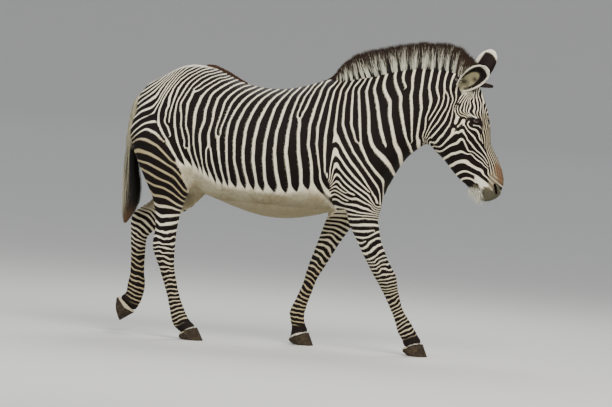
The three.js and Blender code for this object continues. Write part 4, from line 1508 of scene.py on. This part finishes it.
# ---- Mane and forelock: stiff upright hair along the crest ----
# White and black bunches go on from the stripes of the neck, fan out a little and end in ragged
# brown-black tips. Behind, the hair leans back; between the ears it leans forward.
CREST = np.array(
    [(-40, 1430), (40, 1438), (96, 1444), (160, 1452), (250, 1466), (350, 1494), (450, 1524),
     (540, 1534), (620, 1530), (690, 1514), (736, 1500), (764, 1488), (792, 1472)], float
)
MANE_TOP = np.array(
    [(-40, 1436), (0, 1452), (30, 1478), (52, 1512), (88, 1562), (150, 1610), (232, 1645),
     (330, 1668), (432, 1688), (530, 1703), (622, 1707), (700, 1688), (764, 1644), (806, 1592),
     (840, 1550)], float
)
MANE_LEAN = np.array(
    [(40, -6), (100, -10), (160, -17), (250, -21), (350, -13), (450, -4), (540, 0), (620, 3),
     (700, 7), (764, 17), (792, 26)], float
)
MANE_HALF = np.array(
    [(-40, 6), (40, 8), (96, 12), (160, 15), (540, 17), (700, 16), (792, 9)], float
)


def nearest_marks(places):
    """Markings and unwrap of the skin nearest to each place."""
    tree = KDTree(len(tri_middle))
    for i, spot in enumerate(tri_middle):
        tree.insert(spot, i)
    tree.balance()
    found = np.array([tree.find(spot)[1] for spot in in_mm(places)])
    _, _, marks, uv = rooted(found, np.full((len(found), 3), 1 / 3))
    return marks, uv


def long_hair(name, colours):
    """A material for long hair; colours joins nodes and gives the colour socket."""
    material, net, shader = new_material(name)
    strength = net.math("MULTIPLY_ADD", net.value("shade"), 0.8, 0.55)
    net.join(net.scaled(colours(net), strength), shader.inputs["Base Color"])
    shader.inputs["Roughness"].default_value = 0.55
    shader.inputs["Specular IOR Level"].default_value = 0.25
    return material


def mane_colours(net):
    pattern = net.put("ShaderNodeGroup", node_tree=STRIPES)
    share = net.math("MULTIPLY_ADD", net.step(net.value("along"), 0.0, 0.35), 0.28, 0.28)
    net.join(share, pattern.inputs["White share"])
    pattern.inputs["Fray"].default_value = 0.1
    striped = net.mix(pattern.outputs["White"], linear(20, 14, 12), linear(196, 194, 174))
    left = net.math("SUBTRACT", 1.0, net.value("along"))
    part = net.math("DIVIDE", net.math("MULTIPLY", left, net.value("length")), net.value("brown"))
    tip = net.math("SUBTRACT", 1.0, net.step(part, 0.55, 1.15))
    return net.mix(tip, striped, linear(46, 30, 19))


MANE_TUFTS = 26000
BUNCHES = 150
BROWN_TIP = 56
rng = np.random.default_rng(41)
reach = rng.random(MANE_TUFTS)
base_x = CREST[0, 0] + (CREST[-1, 0] - CREST[0, 0]) * reach
across = rng.uniform(-1, 1, MANE_TUFTS)
bunch = (reach * BUNCHES).astype(int)
lean = np.interp(base_x, *MANE_LEAN.T) + rng.normal(0, 3.0, BUNCHES)[bunch]
lean = np.radians(lean + rng.normal(0, 3.5, MANE_TUFTS))
base_z = np.interp(base_x, *CREST.T) - 7
tip_x = base_x.copy()
for _ in range(6):
    tip_x = base_x + np.tan(lean) * (np.interp(tip_x, *MANE_TOP.T) - base_z)
full = 1 - 0.2 * rng.random(MANE_TUFTS) ** 1.5
tall = (np.interp(tip_x, *MANE_TOP.T) - base_z) * full * rng.uniform(0.9, 1.0, BUNCHES)[bunch]
wide = across * np.interp(base_x, *MANE_HALF.T)
roots = np.stack([base_x, wide * 0.75, base_z], 1)
tip_y = wide * rng.uniform(0.5, 1.1, MANE_TUFTS)
tips = np.stack([base_x + np.tan(lean) * tall, tip_y, base_z + tall], 1)
roots_m, tips_m = in_frame(roots), in_frame(tips)
lengths = np.linalg.norm(tips_m - roots_m, axis=1)
ways = unit(tips_m - roots_m)
none = np.zeros(MANE_TUFTS)
curl = np.stack([0.05 * lengths * rng.normal(0, 1, MANE_TUFTS), none, none], 1)
marks, uv = nearest_marks(roots_m - [0, 0, 0.012])
marks["phase_body"] = marks["phase_body"] + rng.normal(0, 0.07, MANE_TUFTS)
for name in ("dark", "cream", "plain", "on_face"):
    marks[name] = none
brown = BROWN_TIP * rng.uniform(0.3, 1.9, MANE_TUFTS) * (1 + 2.0 * ease(base_x, 640, 730))
marks["brown"] = brown * (0.75 + 0.25 * ease(base_x, 40, 200))
facing = np.sign(across) * (0.4 + np.abs(across))
outwards = unit(np.stack([rng.normal(0, 0.5, MANE_TUFTS), facing, none], 1))
lines = bent(roots_m, ways, lengths, 4, curl)
widths = rng.uniform(1.5, 3.2, MANE_TUFTS) * MM
mesh = blades("mane_hair", lines, outwards, widths, marks, uv, FLAT, 0.4)
mesh.materials.append(long_hair("mane", mane_colours))
mane = loose(mesh, "mane_hair")
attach(mane, "root")
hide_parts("mane")

FORELOCK_TUFTS = 900
FORELOCK_END = 894
rng = np.random.default_rng(42)
root_x = 782 + 26 * rng.random(FORELOCK_TUFTS)
root_y = rng.uniform(-14, 14, FORELOCK_TUFTS)
root_z = 1468 + rng.uniform(0, 30, FORELOCK_TUFTS)
tip_x = np.minimum(root_x + rng.uniform(50, 100, FORELOCK_TUFTS), FORELOCK_END)
tip_z = 1480 + 0.15 * (root_z - 1482) + rng.normal(0, 3, FORELOCK_TUFTS)
roots = np.stack([root_x, root_y, root_z], 1)
tips = np.stack([tip_x, root_y * 0.4, tip_z], 1)
roots_m, tips_m = in_frame(roots), in_frame(tips)
lengths = np.linalg.norm(tips_m - roots_m, axis=1)
ways = unit(tips_m - roots_m)
_, uv = nearest_marks(roots_m)
none = np.zeros(FORELOCK_TUFTS)
curl = np.stack([none, none, -0.06 * lengths], 1)
outwards = unit(np.stack([none, np.sign(root_y), none + 0.3], 1))
lines = bent(roots_m, ways, lengths, 4, curl)
widths = rng.uniform(2.4, 4.4, FORELOCK_TUFTS) * MM
mesh = blades("forelock_hair", lines, outwards, widths, {}, uv, RIDGED, 0.5)


def forelock_colours(net):
    return net.mix(net.value("along"), linear(30, 22, 20), linear(56, 38, 26))


mesh.materials.append(long_hair("forelock", forelock_colours))
forelock = loose(mesh, "forelock_hair")
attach(forelock, "root")
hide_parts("forelock")

# ---- Tail: a short-haired root that ends in a long narrow tuft ----
# Strands start along the dock and hang down inside the outline of the tail, pale behind and
# black in front, with rusty ends.
TAIL = np.array(
    [(1304, -1012, -974, 20), (1244, -1038, -992, 23), (1160, -1053, -1008, 22),
     (1080, -1060, -1012, 23), (980, -1063, -996, 31), (890, -1063, -981, 39),
     (800, -1061, -966, 42), (720, -1058, -966, 39), (655, -1057, -990, 30),
     (608, -1052, -1022, 14), (590, -1046, -1030, 5)], float
)[::-1]


def tail_at(z, along, across):
    """A place in the tail: along is -1 behind to 1 in front, across is -1 to 1."""
    rear, front, half = (np.interp(z, TAIL[:, 0], TAIL[:, k]) for k in (1, 2, 3))
    x = (rear + front) / 2 + along * (front - rear) / 2
    return np.stack([x, across * half, z], -1)


def dock_mesh():
    """The fleshy core of the tail, a tapering closed tube."""
    heights = np.linspace(1300, 900, 15)
    rings = []
    for z in heights:
        keep = np.interp(z, [900, 1150, 1300], [0.16, 0.62, 0.8])
        turns = np.arange(16) * math.tau / 16
        rings.append(tail_at(np.full(16, z), keep * np.cos(turns), keep * np.sin(turns)))
    points = np.concatenate(rings + [rings[0].mean(0)[None], rings[-1].mean(0)[None]])
    faces = []
    for i in range(len(heights) - 1):
        for j in range(16):
            k = (j + 1) % 16
            faces.append((i * 16 + j, i * 16 + k, (i + 1) * 16 + k, (i + 1) * 16 + j))
    top, low, last = len(points) - 2, len(points) - 1, (len(heights) - 1) * 16
    for j in range(16):
        faces += [(top, (j + 1) % 16, j), (low, last + j, last + (j + 1) % 16)]
    mesh = bpy.data.meshes.new("dock")
    mesh.from_pydata([tuple(p) for p in in_frame(points)], [], faces)
    soften(mesh)
    return mesh


dock = loose(dock_mesh(), "dock")
hide, _, shader = new_material("dock")
shader.inputs["Base Color"].default_value = linear(150, 142, 122)
shader.inputs["Roughness"].default_value = 0.8
dock.data.materials.append(hide)
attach(dock, "root")


def tail_colours(net):
    fade = net.mix(net.value("pale"), linear(26, 22, 21), linear(188, 178, 148))
    ragged = net.math("MULTIPLY_ADD", net.value("shade"), 70.0, net.value("height"))
    rust = net.step(ragged, 760.0, 640.0)
    return net.mix(net.math("MULTIPLY", rust, 0.85), fade, linear(112, 82, 56))


TAIL_STRANDS = 8000
SHORT_STRANDS = 4000
LOOSE_SHARE = 0.08
OUTERMOST = 1.12
rng = np.random.default_rng(43)
rows = 9
count = TAIL_STRANDS + SHORT_STRANDS
turns = rng.random(count) * math.tau
out = np.sqrt(rng.uniform(0.15, 1.0, count))
short = np.arange(count) < SHORT_STRANDS
out[short] = 0.85
out[rng.random(count) < LOOSE_SHARE] = 1.15
root_z = np.where(short, rng.uniform(1040, 1296, count), 1090 - 200 * rng.random(count) ** 1.6)
hang = rng.uniform(30, 60, count)
end_z = np.where(short, root_z - hang, 596 + 250 * rng.random(count) ** 2.2)
lines = np.empty((count, rows, 3))
root_keep = np.interp(root_z, [900, 1150, 1300], [0.16, 0.6, 0.78])
tip_keep = np.where(short, 0.93, out * rng.uniform(0.6, 0.95, count))
sway = rng.normal(0, 0.12, (count, 2))
for i, s in enumerate(np.linspace(0, 1, rows)):
    z = root_z + (end_z - root_z) * s
    keep = root_keep + (tip_keep - root_keep) * ease(s, 0.0, 0.45)
    along = keep * np.cos(turns) + sway[:, 0] * math.sin(3 * s)
    across = keep * np.sin(turns) + sway[:, 1] * math.sin(3 * s)
    lines[:, i] = tail_at(z, *np.clip([along, across], -OUTERMOST, OUTERMOST))
behind = -np.cos(turns) * out
limit = np.where(short, np.interp(root_z, [1000, 1080, 1150], [0.3, -0.2, -0.9]), 0.5)
pale = ease(behind + rng.normal(0, 0.24, count), limit - 0.12, limit + 0.12)
normals = np.stack([np.cos(turns), np.sin(turns), np.zeros(count)], 1)
lines = in_frame(lines)
_, uv = nearest_marks(lines[:, 0])
widths = np.where(short, 2.0, rng.uniform(1.2, 2.8, count)) * MM
marks = {"pale": pale, "height": end_z}
mesh = blades("tail_hair", lines, normals, widths, marks, uv, FLAT, 0.45)
heights = in_mm(places_of(mesh))[:, 2]
mesh.attributes["height"].data.foreach_set("value", heights.astype(np.float32))
mesh.materials.append(long_hair("tail", tail_colours))
tail = loose(mesh, "tail_hair")
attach(tail, "root")
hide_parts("tail")

# ---- Ears, lips, lashes and spine: small longer hair ----
# Soft hair lines the ears, fine whiskers and a thin pale beard stand on the lips and chin, dark
# lashes droop from the upper lids, and a brown fringe stands on the spine before the croup.
def hairs(name, places, normals, ways, lengths, widths, marks, uv, colours, droop=0.0):
    """One piece of long hair, each hair drooping a share of its length."""
    curl = np.zeros_like(ways)
    curl[:, 2] = -droop * lengths
    lines = bent(places, ways, lengths, 3, curl)
    mesh = blades(name, lines, normals, widths, marks, uv, FLAT, 0.5)
    mesh.materials.append(long_hair(name, colours))
    piece = loose(mesh, name)
    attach(piece, "root")


def one_colour(colour):
    paler = (*(min(1.0, 1.5 * v) for v in colour[:3]), 1.0)
    return lambda net: net.mix(net.value("along"), colour, paler)


def ear_colours(net):
    return net.mix(net.value("tone"), linear(46, 36, 30), linear(208, 202, 178))


def picked_roots(rng, weight, count):
    """Roots at random over the skin where a weight on its triangles says so."""
    chance = weight * tri_area
    picked = rng.choice(len(chance), size=count, p=chance / chance.sum())
    return picked, rooted(picked, rng.dirichlet((1, 1, 1), count))


p, n = tri_middle, unit(np.cross(b - a, c - a))
rng = np.random.default_rng(51)
inside_ear = np.zeros(len(p))
ear_side = np.zeros(len(p), dtype=int)
for side, name in enumerate(EARS):
    root, front, across, up = (np.array(v) for v in ear_basis(name))
    local = p - in_mm(root)
    f, s, h = local @ front, local @ across, local @ up
    inner = ((6 - f) * (n @ front) - s * (n @ across)) > 0
    here = inner & (h > 8) & (h < 205) & (np.abs(s) < 70) & (f > -50) & (f < 20)
    inside_ear[here] = (0.2 + 0.8 * (1 - ease(h, 40, 90)))[here]
    ear_side[here] = side
count = 1500
picked, (places, normals, marks, uv) = picked_roots(rng, inside_ear, count)
ways = np.empty((count, 3))
for side, name in enumerate(EARS):
    root, front, across, up = (np.array(v) for v in ear_basis(name))
    mine = ear_side[picked] == side
    centre = root + up * ((places[mine] - root) @ up)[:, None]
    ways[mine] = unit(up * 0.9 + unit(centre - places[mine]) * 0.55 + front * 0.35)
ways = unit(ways + rng.normal(0, 0.15, (count, 3)))
lengths = rng.uniform(8, 20, count) * MM
widths = rng.uniform(0.8, 1.6, count) * MM
ear_tone = {"tone": np.clip(marks["cream"] * 0.9 + (1 - marks["dark"]) * 0.45, 0, 1)}
hairs("ear_hair", places, normals, ways, lengths, widths, ear_tone, uv, ear_colours)

mouth = ((p[:, 2] < 935) & (p[:, 0] > 800)).astype(float) * (0.4 + 0.6 * (p[:, 0] < 880))
chin = ((p[:, 2] < 930) & (p[:, 0] > 800) & (p[:, 0] < 872) & (n[:, 2] < 0.1)).astype(float)
rng = np.random.default_rng(52)
for name, weight, count, low, high, wide, colour in (
    ("whiskers", mouth, 150, 18, 42, 0.55, linear(60, 54, 46)),
    ("beard", chin, 1100, 14, 46, 0.7, linear(196, 192, 176)),
):
    _, (places, normals, marks, uv) = picked_roots(rng, weight, count)
    ways = unit(normals * 0.7 + np.array([0.1, 0, -0.75]) + rng.normal(0, 0.18, (count, 3)))
    lengths = rng.uniform(low, high, count) * MM
    widths = np.full(count, wide * MM)
    hairs(name, places, normals, ways, lengths, widths, {}, uv, one_colour(colour), 0.2)

LASHES = 46
rng = np.random.default_rng(53)
sides = np.repeat([-1, 1], LASHES)
lash_u = np.tile(np.linspace(-17, 20, LASHES), 2) + rng.normal(0, 0.5, 2 * LASHES)
lash_v = 10.5 * (1 - (np.abs(lash_u) / 22.0) ** 2.3) + 0.4
dx = lash_u * math.cos(LID_TURN) - lash_v * math.sin(LID_TURN)
dz = lash_u * math.sin(LID_TURN) + lash_v * math.cos(LID_TURN)
depth = EYE_AT[1] + np.sqrt(np.maximum((EYE_RADIUS + LID) ** 2 - dx * dx - dz * dz, 0)) - 0.8
places = in_frame(np.stack([EYE_AT[0] + dx, sides * depth, EYE_AT[2] + dz], 1))
ways = np.stack([0.012 * lash_u + 0.15, sides * 0.85, np.full(2 * LASHES, -0.25)], 1)
ways = unit(ways + rng.normal(0, 0.06, (2 * LASHES, 3)))
_, uv = nearest_marks(places)
normals = np.tile([0.0, 0.0, 1.0], (2 * LASHES, 1))
lengths = rng.uniform(11, 17, 2 * LASHES) * MM
widths = np.full(2 * LASHES, 1.2 * MM)
black = one_colour(linear(20, 16, 15))
hairs("lashes", places, normals, ways, lengths, widths, {}, uv, black, 0.45)

rng = np.random.default_rng(54)
count = 2600
x = rng.uniform(-650, -430, count)
faces = [tuple(q.vertices) for q in skin_mesh.polygons]
spine = BVHTree.FromPolygons([tuple(v) for v in skin_places], faces)
places = []
for px, py in zip(x, rng.normal(0, 7, count)):
    hit = spine.ray_cast(Vector(((px + FRAME_SHIFT) * MM, py * MM, 2.0)), Vector((0, 0, -1)))
    places.append(tuple(hit[0]))
places = np.array(places)
tall = 1 - np.abs((x + 545) / 115) ** 2
ways = unit(np.array([-0.55, 0, 0.8]) + rng.normal(0, 0.13, (count, 3)))
_, uv = nearest_marks(places)
normals = np.tile([0.0, 1.0, 0.0], (count, 1))
lengths = (9 + 17 * np.clip(tall, 0, 1)) * rng.uniform(0.7, 1.1, count) * MM
widths = rng.uniform(1.6, 2.8, count) * MM
hairs("spine_hair", places, normals, ways, lengths, widths, {}, uv, one_colour(linear(62, 40, 26)))

# ---- Eyes: dark brown balls with a wide level pupil ----
# Each ball has a clear bulge in front, so that it takes a small bright light.
def eye_material():
    material, net, shader = new_material("eye")
    iris = net.step(net.value("from_axis"), 14.5, 12.6)
    pupil = net.step(net.value("pupil"), 1.1, 0.9)
    rays = net.noise(net.put("ShaderNodeTexCoord").outputs["Object"], 700.0, 3.0)
    brown = net.mix(rays, linear(38, 22, 12), linear(78, 48, 26))
    colour = net.mix(iris, linear(62, 48, 38), brown)
    colour = net.mix(pupil, colour, linear(6, 6, 9))
    net.join(colour, shader.inputs["Base Color"])
    shader.inputs["Roughness"].default_value = 0.06
    shader.inputs["Coat Weight"].default_value = 1.0
    shader.inputs["Coat Roughness"].default_value = 0.02
    return material


EYE = eye_material()
for name, side in (("eye_right", -1), ("eye_left", 1)):
    shape = bmesh.new()
    bmesh.ops.create_uvsphere(shape, u_segments=64, v_segments=40, radius=1.0)
    axis = Vector((0.1, side * 0.99, 0.04)).normalized()
    level = Vector((0.96, 0, -0.28))
    turn = axis.to_track_quat("Z", "Y")
    middle = Vector(((EYE_AT[0] + FRAME_SHIFT) * MM, side * EYE_AT[1] * MM, EYE_AT[2] * MM))
    from_axis, pupil = [], []
    for v in shape.verts:
        way = turn @ v.co.normalized()
        off = math.degrees(math.acos(max(-1, min(1, way.dot(axis)))))
        bulge = 1.3 * max(0.0, 1 - (off / 38.0) ** 2)
        v.co = middle + way * (EYE_RADIUS + bulge) * MM * 0.985
        flat = (way - axis * way.dot(axis)) * EYE_RADIUS
        along = flat.dot(level)
        upright = math.sqrt(max(flat.length_squared - along * along, 0))
        in_front = way.dot(axis) > 0
        from_axis.append(flat.length if in_front else 30.0)
        pupil.append(math.hypot(along / 9.0, upright / 4.2) if in_front else 9.0)
    mesh = bpy.data.meshes.new(name + "_ball")
    shape.to_mesh(mesh)
    shape.free()
    note(mesh, "from_axis", np.array(from_axis))
    note(mesh, "pupil", np.array(pupil))
    soften(mesh)
    mesh.materials.append(EYE)
    ball = loose(mesh, name + "_ball")
    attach(ball, "root")
    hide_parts(name)

# ---- Hooves: dark horn with growth rings and a pale band at the top ----
# Each is an evenly meshed copy of its solid with softened edges, ringed parallel to the coronet.
HOOVES = ("hoof_fore_right", "hoof_fore_left", "hoof_hind_right", "hoof_hind_left")


def hoof_material():
    material, net, shader = new_material("hoof")
    here = net.put("ShaderNodeTexCoord").outputs["Object"]
    below = net.value("below")
    wobble = net.math("MULTIPLY", net.math("SUBTRACT", net.noise(here, 45.0, 2.0), 0.5), 4.0)
    deep = net.math("ADD", below, wobble)
    rings = net.math("SINE", net.math("MULTIPLY", deep, 1.15))
    dust = net.step(net.noise(here, 60.0, 4.0, 0.65), 0.42, 0.7)
    ringed = net.math("MULTIPLY_ADD", rings, 0.25, 0.5)
    colour = net.mix(ringed, linear(30, 24, 19), linear(58, 47, 35))
    colour = net.mix(net.math("MULTIPLY", dust, 0.5), colour, linear(92, 78, 56))
    top = net.step(deep, 4.0, 1.5)
    colour = net.mix(net.math("MULTIPLY", top, 0.9), colour, linear(200, 186, 156))
    net.join(colour, shader.inputs["Base Color"])
    shader.inputs["Roughness"].default_value = 0.75
    shader.inputs["Specular IOR Level"].default_value = 0.2
    relief = net.math("MULTIPLY_ADD", rings, 0.5, net.noise(here, 380.0, 3.0))
    net.join(net.bump(relief, 0.6, 0.0012), shader.inputs["Normal"])
    return material


HORN = hoof_material()
for name, (line, _) in zip(HOOVES, CORONETS):
    body = loose(joined([merged_copy(name, 0.0)]), name + "_horn")
    fine = body.modifiers.new("even", "REMESH")
    fine.mode = "VOXEL"
    fine.voxel_size = 0.0035
    mesh = with_modifiers(body, name + "_horn")
    set_places(mesh, smoothed(mesh, places_of(mesh), 14 * there_and_back(0.5)))
    p = in_mm(places_of(mesh))
    along, below = under_line(p, line)
    note(mesh, "below", below)
    # The heel bulges under the coronet and is rounded off towards the sole.
    run = np.array([line[-1][0] - line[0][0], 0, line[-1][1] - line[0][1]], float)
    heel = 15 * ease(below, 12, 46) * (1 - ease(along, -5, 46))
    heel -= 4 * np.exp(-(((below - 12) / 9) ** 2)) * (1 - ease(along, 0, 30))
    set_places(mesh, places_of(mesh) + heel[:, None] * MM * run / np.linalg.norm(run))
    soften(mesh)
    mesh.materials.clear()
    mesh.materials.append(HORN)
    mesh.polygons.foreach_set("material_index", np.zeros(len(mesh.polygons), dtype=np.int32))
    horn = loose(mesh, name + "_horn")
    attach(horn, "root")
    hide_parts(name)

# ---- Floor, light and camera ----
# A wide pale floor whose far edge rises all round, broad soft light, and a far camera a little
# above the level of the belly, tipped so that the ground falls to the right.
def floor_mesh():
    turns = np.arange(96) * math.tau / 96
    rise = np.linspace(0, math.pi / 2, 10)
    away = np.append([10.0], 42 + 8 * np.sin(rise))
    up = np.append([0.0], 8 - 8 * np.cos(rise))
    points = [(r * math.cos(t), r * math.sin(t), h) for r, h in zip(away, up) for t in turns]
    faces = [tuple(range(96))]
    for i in range(len(away) - 1):
        for j in range(96):
            k = (j + 1) % 96
            faces.append((i * 96 + j, (i + 1) * 96 + j, (i + 1) * 96 + k, i * 96 + k))
    mesh = bpy.data.meshes.new("floor")
    mesh.from_pydata(points, [], faces)
    soften(mesh)
    return mesh


floor = loose(floor_mesh(), "floor")
ground, _, shader = new_material("floor")
shader.inputs["Base Color"].default_value = (0.56, 0.56, 0.53, 1)
shader.inputs["Roughness"].default_value = 0.9
floor.data.materials.append(ground)

world = bpy.data.worlds.new("sky")
world.use_nodes = True
world.node_tree.nodes["Background"].inputs["Color"].default_value = (0.93, 0.96, 1.0, 1)
world.node_tree.nodes["Background"].inputs["Strength"].default_value = 0.68
bpy.context.scene.world = world


def area_light(name, place, aim, size, power, colour):
    light = bpy.data.lights.new(name, "AREA")
    light.shape = "SQUARE"
    light.size = size
    light.energy = power
    light.color = colour
    lamp = bpy.data.objects.new(name, light)
    lamp.location = place
    lamp.rotation_euler = (Vector(aim) - Vector(place)).to_track_quat("-Z", "Y").to_euler()
    bpy.context.scene.collection.objects.link(lamp)


area_light("key", (1.5, -4.5, 5.5), (0, 0, 0.9), 3.5, 460, (1.0, 0.95, 0.88))
area_light("fill", (-4.5, -4.0, 2.5), (0, 0, 0.9), 3.0, 120, (0.9, 0.95, 1.0))
area_light("rim", (0.5, 3.0, 4.5), (0, 0, 1.0), 2.5, 160, (1.0, 1.0, 1.0))

AIM = Vector((-0.029, 0.0, 0.773))
CAMERA_RISE = math.radians(2.5)
CAMERA_AWAY = 25.0
view = bpy.data.cameras.new("camera")
view.sensor_width = 36.0
view.lens = 36.0 * CAMERA_AWAY / 3.305
view.clip_end = 200.0
camera = bpy.data.objects.new("camera", view)
bpy.context.scene.collection.objects.link(camera)
camera.location = AIM + CAMERA_AWAY * Vector((0, -math.cos(CAMERA_RISE), math.sin(CAMERA_RISE)))
look = (AIM - camera.location).to_track_quat("-Z", "Y")
camera.rotation_euler = (look @ Quaternion((0, 0, 1), math.radians(4.19))).to_euler()
bpy.context.scene.camera = camera

scene = bpy.context.scene
scene.view_settings.view_transform = "AgX"
